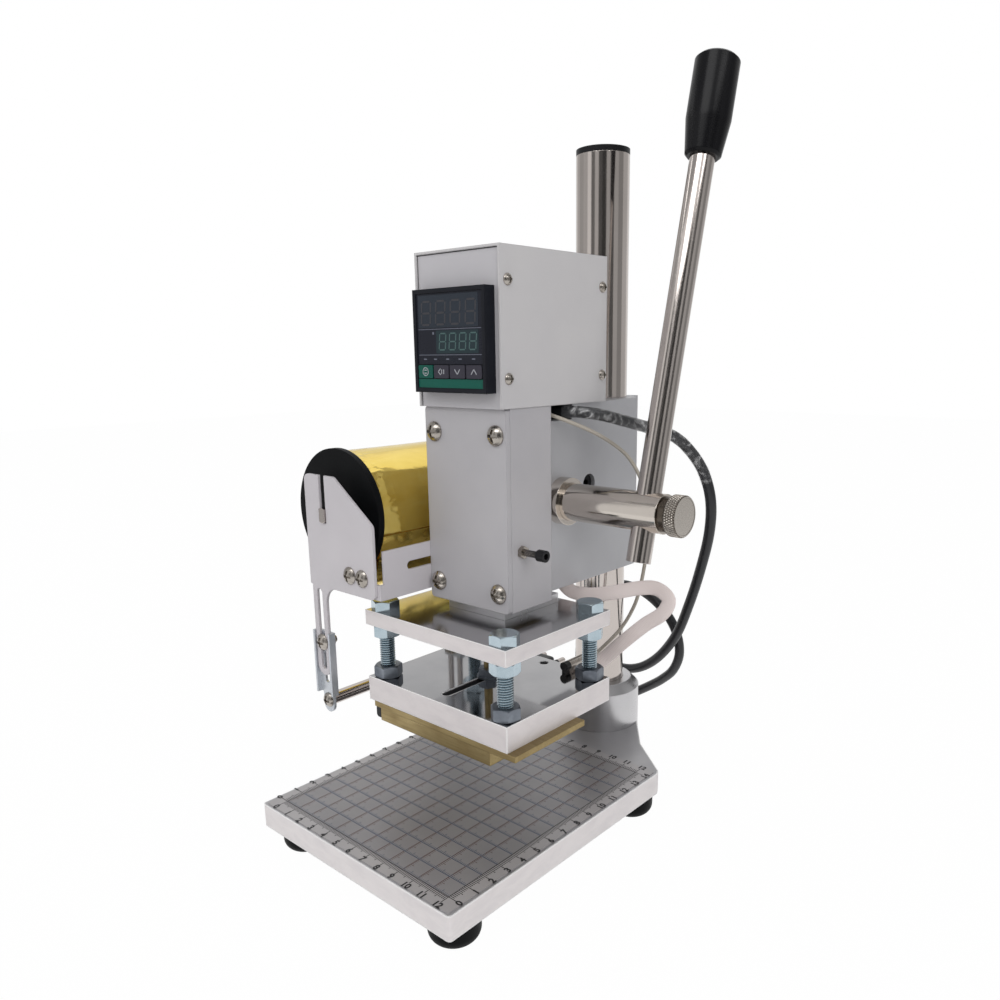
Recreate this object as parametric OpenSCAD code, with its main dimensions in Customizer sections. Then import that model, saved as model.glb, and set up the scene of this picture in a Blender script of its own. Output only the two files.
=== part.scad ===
// Hand-operated hot foil stamping machine, in millimetres.
// X runs to the right, Y to the back and Z up. Pieces are drawn about the column's axis, with Z = 0 on the
// bench, and placed() then moves the middle of the machine's box to the origin.

/* [Base] */
// Width of the base plate
base_w = 138; // [120:1:180]
// Depth of the base plate, without its neck
base_d = 158; // [140:1:200]
// Thickness of the base plate
base_t = 12; // [8:0.5:20]
// Radius of the base plate's corners
base_corner_r = 2; // [2:0.5:10]
// Distance from the base plate's rear edge to the column's axis
column_setback = 38; // [32:1:48]
// Width of the printed grid sheet
scale_w = 134; // [110:1:135]
// Depth of the printed grid sheet
scale_d = 155; // [120:1:156]
// Thickness of the printed grid sheet
scale_t = 0.4; // [0.2:0.1:1]
// Height of a rubber foot
foot_h = 13; // [8:0.5:20]
// Diameter of a rubber foot
foot_d = 24; // [23:0.5:28]
// Radius of a foot's lower edge
foot_r = 6; // [2:0.25:6]
// Distance from the base plate's edges to a foot's axis
foot_inset = 14; // [12.5:0.5:20]
// Shank diameter of a foot screw
foot_screw_d = 5; // [4:0.5:6]

/* [Column] */
// Outer diameter of the column tube
column_d = 29.5; // [24:0.5:32]
// Wall of the column tube
column_wall = 2.5; // [1.5:0.25:4]
// Height of the column above the base plate
column_h = 329; // [310:1:400]
// Thickness of the cap's visible disc
column_cap_t = 3; // [2:0.5:6]
// Depth of the cap's plug inside the column
column_plug_h = 10; // [6:0.5:20]
// Outer diameter of the collar at the column's foot
collar_d = 49; // [43:0.5:50]
// Height of the collar
collar_h = 28; // [20:0.5:40]
// Chamfer on the collar's top edge
collar_chamfer = 5; // [2:0.5:7]
// Diameter of the collar's grub screw
collar_screw_d = 6; // [4:0.5:8]

/* [Head] */
// Width of the head block
block_w = 48; // [46:1:52]
// Height of the head block
block_h = 96; // [92:1:104]
// Distance from the column's axis to the head block's front
block_front = 79; // [77:0.5:82]
// Distance from the column's axis to the head block's flat back
block_back = 1; // [0:0.5:4]
// Radius of the round clamp behind the head block
clamp_r = 20; // [18:0.5:21]
// Width across the clamp's two ears
clamp_ears_w = 16; // [14:0.5:20]
// Reach of the clamp's ears behind the column's axis
clamp_ears_back = 26; // [24:0.5:30]
// Width of the clamp's slit
clamp_slit = 2; // [1:0.25:3]
// Diameter of a clamp screw
clamp_screw_d = 6; // [5:0.5:6]
// Height of the head block's top above the base plate
head_top = 199; // [195:1:215]
// Width of the slide housing
housing_w = 55; // [53:0.5:60]
// How far the slide housing hangs below the head block
housing_drop = 3.5; // [2:0.25:6]
// Depth of the slide housing with its front cover
housing_d = 33; // [32:0.5:38]
// Thickness of the front cover
cover_t = 3; // [2:0.25:5]
// Corner radius of the front cover
cover_corner_r = 2; // [1:0.25:4]
// Side wall of the slide housing
housing_wall = 4; // [3:0.25:5]
// Rear web of the slide housing
housing_web = 3; // [2:0.25:4]
// Distance between a cover screw and the front cover's edges
cover_screw_inset = 6.5; // [6:0.25:8]
// Diameter of the head of a cover screw
cover_screw_head_d = 10; // [6:0.25:10.5]
// Depth of the cord notch in the head block's top
notch_h = 8; // [7:0.5:12]
// Length of the cord notch behind the slide housing
notch_d = 21; // [16:0.5:26]

/* [Press] */
// Module of the rack and pinion teeth
tooth_module = 1; // [0.9:0.05:1.1]
// Number of teeth on the pinion
pinion_teeth = 17; // [15:1:18]
// Height of the pinion's axis above the base plate
pinion_z = 149.8; // [140:0.2:160]
// Diameter of the pinion shaft and its hub
shaft_d = 19.2; // [19.2:0.1:20]
// Diameter of a pinion bush inside the head block
bush_d = 22.5; // [22:0.25:23]
// Diameter of the right bush's flange
bush_flange_d = 24.5; // [24:0.25:28]
// Thickness of the right bush's flange
bush_out = 6; // [2:0.5:7]
// Distance from the head's middle to the hub's right end
hub_end = 86.6; // [84:0.2:92]
// Distance from the head's middle to the lever
lever_x = 75.8; // [70:0.2:77]
// Width of the ram
ram_w = 36; // [32:0.5:38]
// Depth of the ram
ram_d = 24.5; // [22:0.25:25]
// Height of the ram above its foot
ram_h = 86; // [80:0.5:90]
// Width of the ram's foot
ram_foot_w = 40; // [36:0.5:44]
// Depth of the ram's foot
ram_foot_d = 42; // [38:0.5:46]
// Height of the ram's foot
ram_foot_h = 5; // [4:0.25:5]
// Width of the rack
rack_w = 16; // [14:0.5:16]
// Length of the rack's teeth
rack_l = 69; // [60:1:72]

/* [Lever] */
// Diameter of the lever rod
lever_d = 12; // [10:0.5:12]
// Lean of the lever at rest, towards the back
lever_lean = 14.4; // [8:0.1:20]
// Length of the lever rod above the shaft's axis
lever_up = 205; // [190:1:230]
// Length of the lever rod below the shaft's axis
lever_down = 24.5; // [20:0.5:32]
// Length of the grip
grip_l = 46; // [42:0.5:56]
// Diameter of the grip's top
grip_top_d = 21.5; // [20:0.5:28]
// Diameter of the grip's neck
grip_neck_d = 17.4; // [16:0.1:19]
// How far the grip's top stands above the rod's end
grip_cap = 10; // [8:0.5:14]
// Diameter of the clamp knob
knob_d = 20; // [19.5:0.25:24]
// Length of the clamp knob
knob_l = 6.4; // [5:0.2:12]
// Gap between the hub and the clamp knob
knob_gap = 4; // [2:0.25:6]
// Diameter of the clamp knob's screw
knob_screw_d = 6; // [5:0.5:8]

/* [Heating plates] */
// Width of both plates
plate_w = 100; // [98:1:104]
// Depth of both plates
plate_d = 80; // [78:1:90]
// Thickness of the upper plate
upper_t = 8; // [6:0.5:9]
// Thickness of the heating plate
heat_t = 13; // [11:0.5:14]
// Gap between the two plates
plate_gap = 29; // [27:0.5:31]
// Distance from the column's axis to the plates' front edge
plate_front = 139; // [136:0.5:142]
// Distance from a plate's edges to a bolt's axis
bolt_inset = 7.5; // [7.5:0.25:9]
// Diameter of the plate bolts
bolt_d = 8; // [6:0.5:8]
// Width across the flats of a bolt head or nut
hex_af = 13; // [12:0.25:13]
// Height of a bolt head
bolt_head_h = 5.3; // [4:0.1:6]
// Height of a nut
nut_h = 6.5; // [5:0.1:7]
// Diameter of a heater cartridge
heater_d = 6; // [5:0.25:6]
// Length of a heater cartridge
heater_l = 70; // [50:1:76]
// Distance from the heating plate's middle to a heater cartridge
heater_x = 25; // [20:0.5:30]
// Diameter of the temperature probe
probe_d = 5; // [4:0.25:6]
// Length of the temperature probe
probe_l = 25; // [20:0.5:30]

/* [Die] */
// Width of the brass die carrier
carrier_w = 101; // [99:0.5:101]
// Depth of the brass die carrier
carrier_d = 52; // [48:0.5:56]
// Thickness of the brass die carrier
carrier_t = 3; // [2:0.25:3.5]
// How far the die carrier stands out past the heating plate's right edge
carrier_out = 5; // [3:0.25:5.5]
// Width of the die block
die_w = 81; // [60:1:90]
// Depth of the die block
die_d = 45; // [30:0.5:46]
// Height of the die block
die_h = 9; // [6:0.25:10]
// Distance from the carrier's front edge to the die block
die_setback = 3; // [2:0.25:5]
// Diameter of the carrier stud
stud_d = 4.6; // [4:0.1:5]
// Height of the carrier stud above the heating plate
stud_h = 24; // [20:0.5:26]
// Distance from the carrier's rear edge to the stud
stud_inset = 12; // [11:0.5:16]
// Travel of the stud in its slot
stud_travel = 30; // [24:0.5:31]
// Width of the die stop
stop_w = 3.5; // [2.5:0.25:3.6]

/* [Control box] */
// Width of the control box
box_w = 56; // [54:0.5:62]
// Depth of the control box
box_d = 81; // [76:0.5:90]
// Height of the control box
box_h = 73; // [66:0.5:80]
// Sheet thickness of the control box
sheet_t = 1.2; // [0.8:0.1:1.5]
// How far the front panel sits back from the cover's edge
panel_recess = 0.8; // [0.4:0.1:2]
// Distance from the column's axis to the control box's front
box_front = 115; // [112:0.5:117]
// Side of the square controller bezel
bezel_w = 48; // [46:0.25:50]
// Thickness of the controller bezel
bezel_t = 6.6; // [5:0.1:8]
// Width of the bezel's rim
bezel_rim = 2; // [1:0.1:2.2]
// Side of the controller's square case
case_w = 44.6; // [42:0.1:45.4]
// Depth of the controller's case behind the panel
case_d = 60; // [40:1:66]
// Height of the bezel's middle above the control box's bottom
bezel_rise = 31.3; // [29:0.1:34]
// Width of a key
key_w = 10; // [7:0.1:10]
// Height of a key
key_h = 6.2; // [5:0.1:7]
// Distance between neighbouring keys
key_pitch = 10.9; // [10.8:0.1:11]
// Travel of a key
key_travel = 0.5; // [0.3:0.1:0.6]

/* [Foil holder] */
// Thickness of the holder's sheet parts
holder_t = 1.5; // [1:0.1:2]
// Height of the foil bracket
bracket_h = 25; // [22:0.5:28]
// Depth of the foil bracket between the two foil plates
bracket_d = 96; // [94:0.5:100]
// How far the foil bracket reaches in front of the column's axis
bracket_front = 146; // [144:0.5:148]
// Height of the foil bracket's underside above the slide housing's
bracket_rise = 4.5; // [1:0.5:6]
// Width of the bracket's end flanges
bracket_flange = 29; // [27:0.5:32]
// Width of a foil plate
foil_plate_w = 55; // [52:0.5:58]
// Height of a foil plate above its lower edge
foil_plate_h = 60; // [57:0.5:64]
// Width of a foil plate's hanging arm
arm_w = 11.5; // [10:0.25:12]
// Length of a foil plate's hanging arm
arm_l = 51; // [46:0.5:54]
// Distance from the foil plate's left edge to the spindle
spindle_in = 15; // [13:0.5:18]
// Depth of the spindle slot in a foil plate
spindle_slot_h = 25; // [20:0.5:27]
// Diameter of the foil spindle
spindle_d = 8; // [6:0.25:9]
// Thickness of the spindle's flat ends
spindle_flat = 4.4; // [3:0.1:5]
// Diameter of the roll's flanges
flange_d = 68; // [60:0.5:70]
// Thickness of a roll flange
flange_t = 3.5; // [2:0.25:4]
// Diameter of the wound foil
foil_d = 65; // [40:0.5:66]
// Width of the foil
foil_w = 76; // [70:0.5:77]
// Outer diameter of the foil's core
core_d = 30; // [24:0.5:32]
// Gap between the front foil plate and the front flange
flange_gap = 8; // [6.5:0.25:8.5]
// Height of a guide link
link_h = 47; // [44:0.5:52]
// Depth of a guide link's side flanges
link_flange = 4; // [3.5:0.25:5]
// Diameter of the guide rod
guide_rod_d = 7; // [6:0.25:8]

/* [Leads] */
// Diameter of the mains cord
cord_d = 6; // [6:0.5:7]
// Width of the heater lead's flat sleeve
heater_lead_w = 7; // [5:0.5:8]
// Thickness of the heater lead's flat sleeve
heater_lead_t = 2.6; // [2:0.1:3]
// Diameter of the probe lead
probe_lead_d = 2; // [1.5:0.1:3]
// Turns in one layer of the coiled cord
coil_turns = 2; // [2:1:2]
// Distance from the coil's middle to its outer turn's middle
coil_r = 37; // [34:0.5:40]

/* [Hidden] */
$fn = 64;

// How far a cut runs past the face that it opens
over = 1;
// Radial clearance of a shaft that turns or slides in its bore
run_fit = 0.05;
// Radial clearance of a screw's shank in a hole
screw_fit = 0.2;
// Clearance between sheets and pieces that slide past each other
slide_gap = 0.3;
// Gap between the slide housing and the raised ram's foot
ram_foot_gap = 0.5;

// Heights above the bench
base_top = foot_h + base_t;
head_top_z = base_top + head_top;
block_z = head_top_z - block_h;
housing_h = block_h + housing_drop;
housing_z = head_top_z - housing_h;
axis_z = base_top + pinion_z;
upper_top = housing_z - ram_foot_h - ram_foot_gap;
upper_bottom = upper_top - upper_t;
heat_top = upper_bottom - plate_gap;
heat_bottom = heat_top - heat_t;
column_top = base_top + column_h;

// Base plate
base_rear = -column_setback;
base_front = base_rear - base_d;
flare_angle = 41;
flare_in_r = 0.96 * collar_d / 2;
flare_bend = [0.61 * base_w / 2, 0.42 * base_rear];
flare_end = [base_w / 2 - 1, base_rear + 0.6];
foot_pocket_d = 10;
foot_pocket_h = 6;
foot_screw_l = foot_h - foot_pocket_h + base_t - 3;
foot_x = base_w / 2 - foot_inset;
foot_front_gap = 16;
foot_rear_gap = 6.5;
foot_ys = [base_front + foot_front_gap, base_rear - foot_rear_gap];

// Rack and pinion
pitch_r = tooth_module * pinion_teeth / 2;
tip_r = pitch_r + tooth_module;
root_r = pitch_r - 1.25 * tooth_module;
pressure_angle = 20;
involute_r = pitch_r * cos(pressure_angle);
tooth_step = PI * tooth_module;
backlash = 0.12;
flank_points = 5;
rack_back = -block_front - housing_web - slide_gap;
rack_pitch_y = -block_front + 4;
axis_y = rack_pitch_y + pitch_r;
rack_tip_y = rack_pitch_y + tooth_module;
rack_root_y = rack_pitch_y - 1.25 * tooth_module;
rack_groove_w = rack_w + 2;
pinion_face = rack_w + 2;
rack_groove_y = rack_tip_y + 0.8;
bush_inner = rack_groove_w / 2 + 1;

// Slide housing and ram
housing_back = -block_front;
housing_front = housing_back - housing_d;
cover_back = housing_front + cover_t;
ram_back = rack_back;
ram_front = ram_back - ram_d;
guide_y = [cover_back, ram_back];
pocket_w = housing_w - 2 * housing_wall;
ram_top = upper_top + ram_foot_h + ram_h;
rack_below = floor((axis_z - ram_top + rack_l) / tooth_step - 1);
rack_above = floor((ram_top - axis_z) / tooth_step - 1);
gib_y = ram_front + 4.8;
gib_z = head_top_z - 69.5;
gib_screw_d = 3.4;
gib_head_d = 5.8;
gib_head_h = 4.6;
gib_nut_af = 5.6;
gib_nut_h = 2.2;
gib_reach = 11;
cover_screw_head_h = 3.4;
cover_screw_d = 4;
cover_screw_l = 10;
cover_screw_x = housing_w / 2 - cover_screw_inset;
cover_screw_zs = [housing_z + cover_screw_inset + 3, head_top_z - cover_screw_inset - 6];

// Clamp behind the head block
clamp_screw_y = clamp_ears_back - 5.5;
clamp_screw_zs = [block_z + 22, head_top_z - 22];
clamp_head_d = 10;
clamp_head_h = 6;
side_hole_d = 10.5;
side_hole_h = 12;
side_hole_y = -43;
side_hole_z = axis_z + 6;
side_screw_sink = 2.5;
side_socket_h = 4;
side_socket_af = 4;

// Hub, lever and clamp knob
shaft_left = -block_w / 2 - 3;
shaft_ring_d = shaft_d + 3;
shaft_ring_l = 2.5;
knob_neck_d = 17;
knob_left = hub_end + knob_gap;
knob_right = knob_left + knob_l;
knob_screw_depth = hub_end - lever_x - lever_d / 2 - run_fit - slide_gap;
grip_bottom = lever_up + grip_cap - grip_l;
grip_straight = 0.62 * grip_l;
grip_chamfer = 1.2;

// Plates, bolts and die carrier
plate_rear = -plate_front + plate_d;
bolt_xs = [-plate_w / 2 + bolt_inset, plate_w / 2 - bolt_inset];
bolt_ys = [-plate_front + bolt_inset, plate_rear - bolt_inset];
bolt_bottom = heat_bottom + 3;
heater_z = heat_bottom + heat_t / 2;
carrier_right = plate_w / 2 + carrier_out;
carrier_left = carrier_right - carrier_w;
carrier_front = -plate_front;
carrier_rear = carrier_front + carrier_d;
carrier_z = heat_bottom - carrier_t;
die_left = carrier_left + 1;
die_front = carrier_front + die_setback;
die_z = carrier_z - die_h;
stud_y = carrier_rear - stud_inset;
stud_slot_w = stud_d + 2 * slide_gap;
plate_hole_d = 5;
plate_hole_h = 8;
plate_hole = [10, plate_rear - 6];
stud_nut_af = 9;
stud_nut_h = 4;
stud_washer_d = 12;
stud_washer_t = 1.2;
stop_right = carrier_left - slide_gap - 0.2;
stop_h = carrier_t + die_h - 0.5;
probe_x = 28;
probe_y = plate_rear - 11;
probe_end = probe_y + probe_l;
probe_foot_l = 8;
probe_z = heat_top + probe_d / 2 + 1;

// Control box and controller
box_z = head_top_z;
box_top = box_z + box_h;
box_back = -box_front + box_d;
panel_front = -box_front + panel_recess;
bezel_z = box_z + bezel_rise;
face_front = panel_front - bezel_t;
face_t = 1;
face_sink = 0.6;
face_w = bezel_w - 2 * bezel_rim;
window_y = face_front + face_sink;
key_proud = 0.6;
key_back = 1.2;
key_gap = 0.25;
key_pocket_y = window_y + face_t + key_back + key_travel + slide_gap;
key_z = bezel_z - 14.2;
key_first_x = -key_pitch * 1.5;
box_screw_head_d = 5.5;
box_screw_head_h = 2;
box_screw_d = 3;
box_screw_l = 5;
box_tab_d = 10;
box_screw_ys = [-box_front + 5.2, box_back - 3.8];
box_screw_zs = [box_z + 13.8, box_top - 15.2];

// Foil holder
bracket_left = -housing_w / 2 - holder_t;
bracket_rear = -bracket_front + bracket_d;
bracket_bottom = housing_z + bracket_rise;
foil_right = bracket_left - 1;
foil_left = foil_right - foil_plate_w;
foil_top = bracket_bottom + foil_plate_h;
spindle_x = foil_left + spindle_in;
spindle_z = foil_top - spindle_slot_h + spindle_d / 2 + run_fit;
slot_w = spindle_flat + 0.4;
lobe_w = 25;
slope_drop = 22;
arm_in = 7.4;
arm_x = foil_left + arm_in;
plate_r = 3.5;
corner_steps = 6;
arm_bottom = bracket_bottom - arm_l;
arm_fillet_r = 9;
arm_slot_w = 4.6;
arm_slot_top = bracket_bottom - 4;
plate_screw_xs = [foil_right - 20, foil_right - 10];
plate_screw_z = bracket_bottom + 10;
holder_screw_d = 4;
holder_screw_head_d = 9.2;
holder_screw_head_h = 2.6;
bend_relief = 4;
bend_h = 8;
bend_back = 2.8;
bracket_slot_z = bracket_bottom + 15;
bracket_slot_y = [-126, -84];
bracket_screw_ys = [-106, -88];
front_plate_y = -bracket_front - holder_t;
rear_plate_y = bracket_rear;
flange_y = -bracket_front + flange_gap;
foil_y = flange_y + flange_t;
rear_flange_y = foil_y + foil_w;
core_wall = 2.5;
link_x = arm_x;
link_t = 1.2;
link_w = arm_w + 2 * (slide_gap + link_t);
link_tab_w = 9;
link_tab_h = 11;
link_bottom = arm_bottom - 22;
link_clamp_z = link_bottom + link_h - 6;
link_slot_z = [link_bottom + 19, link_clamp_z - 8];
guide_z = link_bottom + 7;

// The machine's box, whose middle is the origin
reach_left = spindle_x - flange_d / 2;
reach_right = knob_right;
reach_front = base_front;
reach_back = clamp_ears_back;
mid_x = (reach_left + reach_right) / 2;
mid_y = (reach_front + reach_back) / 2;

// Leads, with hand-picked points between their ends
gland_d = 7.6;
gland_tip_d = 6.4;
gland_l = 24;
gland_turn = 23;
gland_start = [0, -block_front + 6.6, head_top_z - notch_h / 2];
gland_end = gland_start + gland_l * [cos(gland_turn), sin(gland_turn), 0];
coil_sides = 6;
coil_steps = 24;
coil_middle = [-76.5, 14];
coil_start = [coil_middle[0] + coil_r, coil_middle[1], cord_d / 2];
coil_pitch = cord_d + 0.6;
coil_layer = cord_d + 0.6;
coil_dip = 0.3 * cord_d;
coil_total = 2 * coil_turns + 0.5;
mains_sides = 10;
mains_steps = 2;
gland_way = [cos(gland_turn), sin(gland_turn), 0];
mains_points = concat(
    [for (k = [0, 2 / 3, 4 / 3]) gland_end + k * cord_d * gland_way],
    [
        for (p = [
            [37.2, -55.5, -5], [42.3, -50, -6.7], [45.6, -43.3, -8.8], [49, -33, -11.7], [52.2, -23.6, -14.4],
            [56, -9.5, -19.4], [60.5, 0, -28], [65.5, 6, -40], [68, 10, -56], [65.5, 14, -75], [58, 19, -98],
            [48, 25, -122]
        ])
            p + [0, 0, head_top_z]
    ],
    [
        for (p = [
            [36, 31, 53], [20, 35.5, 33], [2, 39, 20.5], [-17, 42, 17], [-34, 44.5, 25], [-42, 46, 43],
            [-36.5, 46.5, 62], [-20, 45.5, 72.5], [-1, 44, 73], [16, 42.5, 66], [27.5, 43, 53],
            [30.5, 45, 37],
            [24.5, 48.5, 22.5], [13.5, 52.5, 11.5], [1.5, 55.5, 2.5]
        ])
            p + [0, 0, base_top]
    ],
    [[-11.5, 56, 18.8], [-24, 52.5, 11], [-33, 45.5, cord_d], [-38, 36.5, cord_d / 2 + 0.6]],
    [for (k = [2, 1.5, 1]) coil_start + [0, k * cord_d, 0]]
);
lead_sides = 8;
lead_steps = 2;
heater_start = [14, -block_front + 27, block_z];
heater_plug = [heater_x, plate_rear, heater_z];
heater_points = concat(
    [for (drop = [0, 1.5, 3]) heater_start - [0, 0, drop]],
    [
        for (p = [
            [4, 3, -7.5], [14, 7, -8], [26, 11, -5.5], [38, 15, -2], [48, 18, -1], [55, 19, -6], [52, 18, -14]
        ])
            heater_start + p
    ],
    [for (p = [[31, 24, 30.5], [19, 22, 19], [9, 19.5, 8.5], [2.5, 13, 1.5]]) heater_plug + p],
    [for (out = [7, 4, 0]) heater_plug + [0, out, 0]]
);
probe_start = [17, -block_front + 4, head_top_z - 4.5];
probe_plug = [probe_x, probe_end, probe_z];
probe_points = concat(
    [for (out = [0, 2.5, 5]) probe_start + [out, 0, 0]],
    [
        for (p = [
            [13, 4, -3], [20, 15, -8.5], [24, 28, -15.5], [27, 40, -24.5], [29, 49, -37.5], [29.5, 54, -53.5]
        ])
            probe_start + p
    ],
    [for (p = [[17.5, 26, 56.5], [14, 25, 33.5], [10, 23, 20.5], [5, 18, 9.5]]) probe_plug + p],
    [for (out = [6, 3, 0]) probe_plug + [0, out, 0]]
);
coil_points = concat(
    [coil_start + [0, cord_d, 0]],
    [for (i = [0 : coil_steps * coil_total]) coil_point(i / coil_steps)],
    [coil_point(coil_total) + [0, cord_d, 0]]
);
plug_start = coil_point(coil_total) + [0, cord_d, 0];
plug_t = 2 * plug_start[2];
plug_w = 32;
plug_l = 34;
plug_rear_w = 14;
plug_relief_l = 22;
plug_relief_d = 11;
pin_d = 4.8;
pin_l = 19;
pin_gap = 19;

// Place on the coil after some turns: inwards on the bench, up in half a turn, then outwards on top
function coil_climb(t) = min(1, max(0, 2 * (t - coil_turns)));
function coil_inward(t) = t < coil_turns ? t : min(coil_turns, coil_total - t);
function coil_radius(t) = coil_r - coil_pitch * coil_inward(t) - coil_dip * sin(180 * coil_climb(t));
function coil_rise(t) = coil_layer * coil_climb(t);
function coil_point(t) = [
    coil_middle[0] + coil_radius(t) * cos(360 * t),
    coil_middle[1] - coil_radius(t) * sin(360 * t),
    cord_d / 2 + coil_rise(t)
];

// Least gap between two turns of the coil
coil_turn_points = [for (i = [0 : coil_steps * coil_total]) coil_point(i / coil_steps)];
coil_least = min([
    for (i = [0 : len(coil_turn_points) - 1], j = [i + coil_steps / 2 : 1 : len(coil_turn_points) - 1])
        norm(coil_turn_points[i] - coil_turn_points[j])
]) - cord_d;
echo(coil_least = coil_least);

// Swept tubes
function unit(v) = v / norm(v);
function square_to(t, n) = unit(n - (n * t) * t);
function between(a, b, c, d, t) =
    0.5 * (2 * b + t * (c - a) + t * t * (2 * a - 5 * b + 4 * c - d) + t * t * t * (3 * b - a - 3 * c + d));
function smooth(p, steps) = concat(
    [
        for (i = [0 : len(p) - 2], k = [0 : steps - 1])
            between(p[max(i - 1, 0)], p[i], p[i + 1], p[min(i + 2, len(p) - 1)], k / steps)
    ],
    [p[len(p) - 1]]
);
function heading(p, i) = unit(p[min(i + 1, len(p) - 1)] - p[max(i - 1, 0)]);
function sides_of(p, first) = [
    for (i = 0, n = square_to(heading(p, 0), first);
        i < len(p);
        i = i + 1, n = square_to(heading(p, min(i, len(p) - 1)), n))
        n
];

// Shared shapes

module placed() {
    translate([-mid_x, -mid_y, 0]) children();
}

module block(low, high) {
    translate(low) cube(high - low);
}

module bar_x(d, x0, x1, y, z) {
    translate([x0, y, z]) rotate([0, 90, 0]) cylinder(d = d, h = x1 - x0);
}

module bar_y(d, x, y0, y1, z) {
    translate([x, y0, z]) rotate([-90, 0, 0]) cylinder(d = d, h = y1 - y0);
}

module rounded_rect(w, d, r) {
    square([w - 2 * r, d], center = true);
    square([w, d - 2 * r], center = true);
    for (x = [-1, 1], y = [-1, 1])
        translate([x * (w / 2 - r), y * (d / 2 - r)]) circle(r);
}

module slot_2d(w, low, high) {
    translate([-w / 2, low]) square([w, high - low]);
    translate([0, low]) circle(d = w);
    translate([0, high]) circle(d = w);
}

module hex_prism(af, h) {
    cylinder(d = af / cos(30), h = h, $fn = 6);
}

// Cross-head pan screw, seated on Z = 0 with its shank downwards
module pan_screw(head_d, head_h, shank_d, shank_l) {
    dome_h = 0.82 * head_h;
    dome_r = (head_d * head_d / 4 + dome_h * dome_h) / (2 * dome_h);
    recess_w = head_d * 0.15;
    difference() {
        intersection() {
            translate([0, 0, head_h - dome_r]) sphere(dome_r);
            cylinder(d = head_d, h = head_h);
        }
        for (turn = [0, 90])
            rotate(turn)
                translate([-head_d * 0.31, -recess_w / 2, head_h * 0.4])
                    cube([head_d * 0.62, recess_w, head_h]);
    }
    translate([0, 0, -shank_l]) cylinder(d = shank_d, h = shank_l + 0.01);
}

// Socket-head screw, seated on Z = 0 with its shank downwards
module socket_screw(head_d, head_h, shank_d, shank_l) {
    difference() {
        cylinder(d = head_d, h = head_h);
        translate([0, 0, head_h * 0.45]) hex_prism(head_d * 0.5, head_h);
    }
    translate([0, 0, -shank_l]) cylinder(d = shank_d, h = shank_l + 0.01);
}

// Base

module base_outline() {
    translate([0, base_rear - base_d / 2]) rounded_rect(base_w, base_d, base_corner_r);
    circle(d = collar_d);
    side = [
        [flare_end[0], base_rear - 2 * base_corner_r], flare_end, flare_bend,
        flare_in_r * [cos(flare_angle), sin(flare_angle)]
    ];
    polygon(concat(side, [for (i = [len(side) - 1 : -1 : 0]) [-side[i][0], side[i][1]]]));
}

module base_plate() {
    placed() color("silver") difference() {
        translate([0, 0, foot_h]) linear_extrude(base_t) base_outline();
        for (x = [-foot_x, foot_x], y = foot_ys)
            translate([x, y, foot_h - over])
                cylinder(d = foot_screw_d + 2 * screw_fit, h = base_t - 2 + over);
    }
}

module base_scale() {
    placed() color("gainsboro")
        translate([0, base_rear - base_d / 2, base_top])
            linear_extrude(scale_t) rounded_rect(scale_w, scale_d, base_corner_r / 2);
}

module rubber_feet() {
    placed() color("#181818")
        for (x = [-foot_x, foot_x], y = foot_ys)
            translate([x, y, 0]) difference() {
                rotate_extrude() {
                    translate([0, foot_r]) square([foot_d / 2, foot_h - foot_r]);
                    square([foot_d / 2 - foot_r, foot_h]);
                    translate([foot_d / 2 - foot_r, foot_r]) intersection() {
                        circle(foot_r);
                        translate([0, -foot_r]) square(foot_r);
                    }
                }
                translate([0, 0, -over]) cylinder(d = foot_pocket_d, h = foot_pocket_h + over);
                cylinder(d = foot_screw_d + 2 * screw_fit, h = foot_h + over);
            }
}

module foot_screws() {
    placed() color("lightsteelblue")
        for (x = [-foot_x, foot_x], y = foot_ys)
            translate([x, y, foot_pocket_h]) mirror([0, 0, 1])
                pan_screw(9, 3, foot_screw_d, foot_screw_l);
}

module column_collar() {
    bore_r = column_d / 2 + run_fit;
    outer_r = collar_d / 2;
    placed() color("silver") difference() {
        translate([0, 0, base_top]) rotate_extrude()
            polygon([
                [bore_r, 0], [outer_r, 0], [outer_r, collar_h - collar_chamfer],
                [outer_r - collar_chamfer, collar_h], [bore_r, collar_h]
            ]);
        bar_y(collar_screw_d + 2 * run_fit, 0, 0, outer_r + over, base_top + collar_h / 2 - 2);
    }
}

module collar_screw() {
    screw_back = collar_d / 2 - 0.5;
    placed() color("#202020") difference() {
        bar_y(collar_screw_d, 0, column_d / 2 + slide_gap, screw_back, base_top + collar_h / 2 - 2);
        translate([0, screw_back + over, base_top + collar_h / 2 - 2]) rotate([90, 0, 0])
            hex_prism(collar_screw_d * 0.5, over + 3);
    }
}

module column() {
    placed() color("gainsboro")
        translate([0, 0, base_top]) difference() {
            cylinder(d = column_d, h = column_h);
            translate([0, 0, -over]) cylinder(d = column_d - 2 * column_wall, h = column_h + 2 * over);
        }
}

module column_cap() {
    placed() color("#151515") translate([0, 0, column_top]) {
        cylinder(d = column_d, h = column_cap_t);
        translate([0, 0, -column_plug_h])
            cylinder(d = column_d - 2 * column_wall - 2 * run_fit, h = column_plug_h + 0.01);
    }
}

// Head

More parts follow.
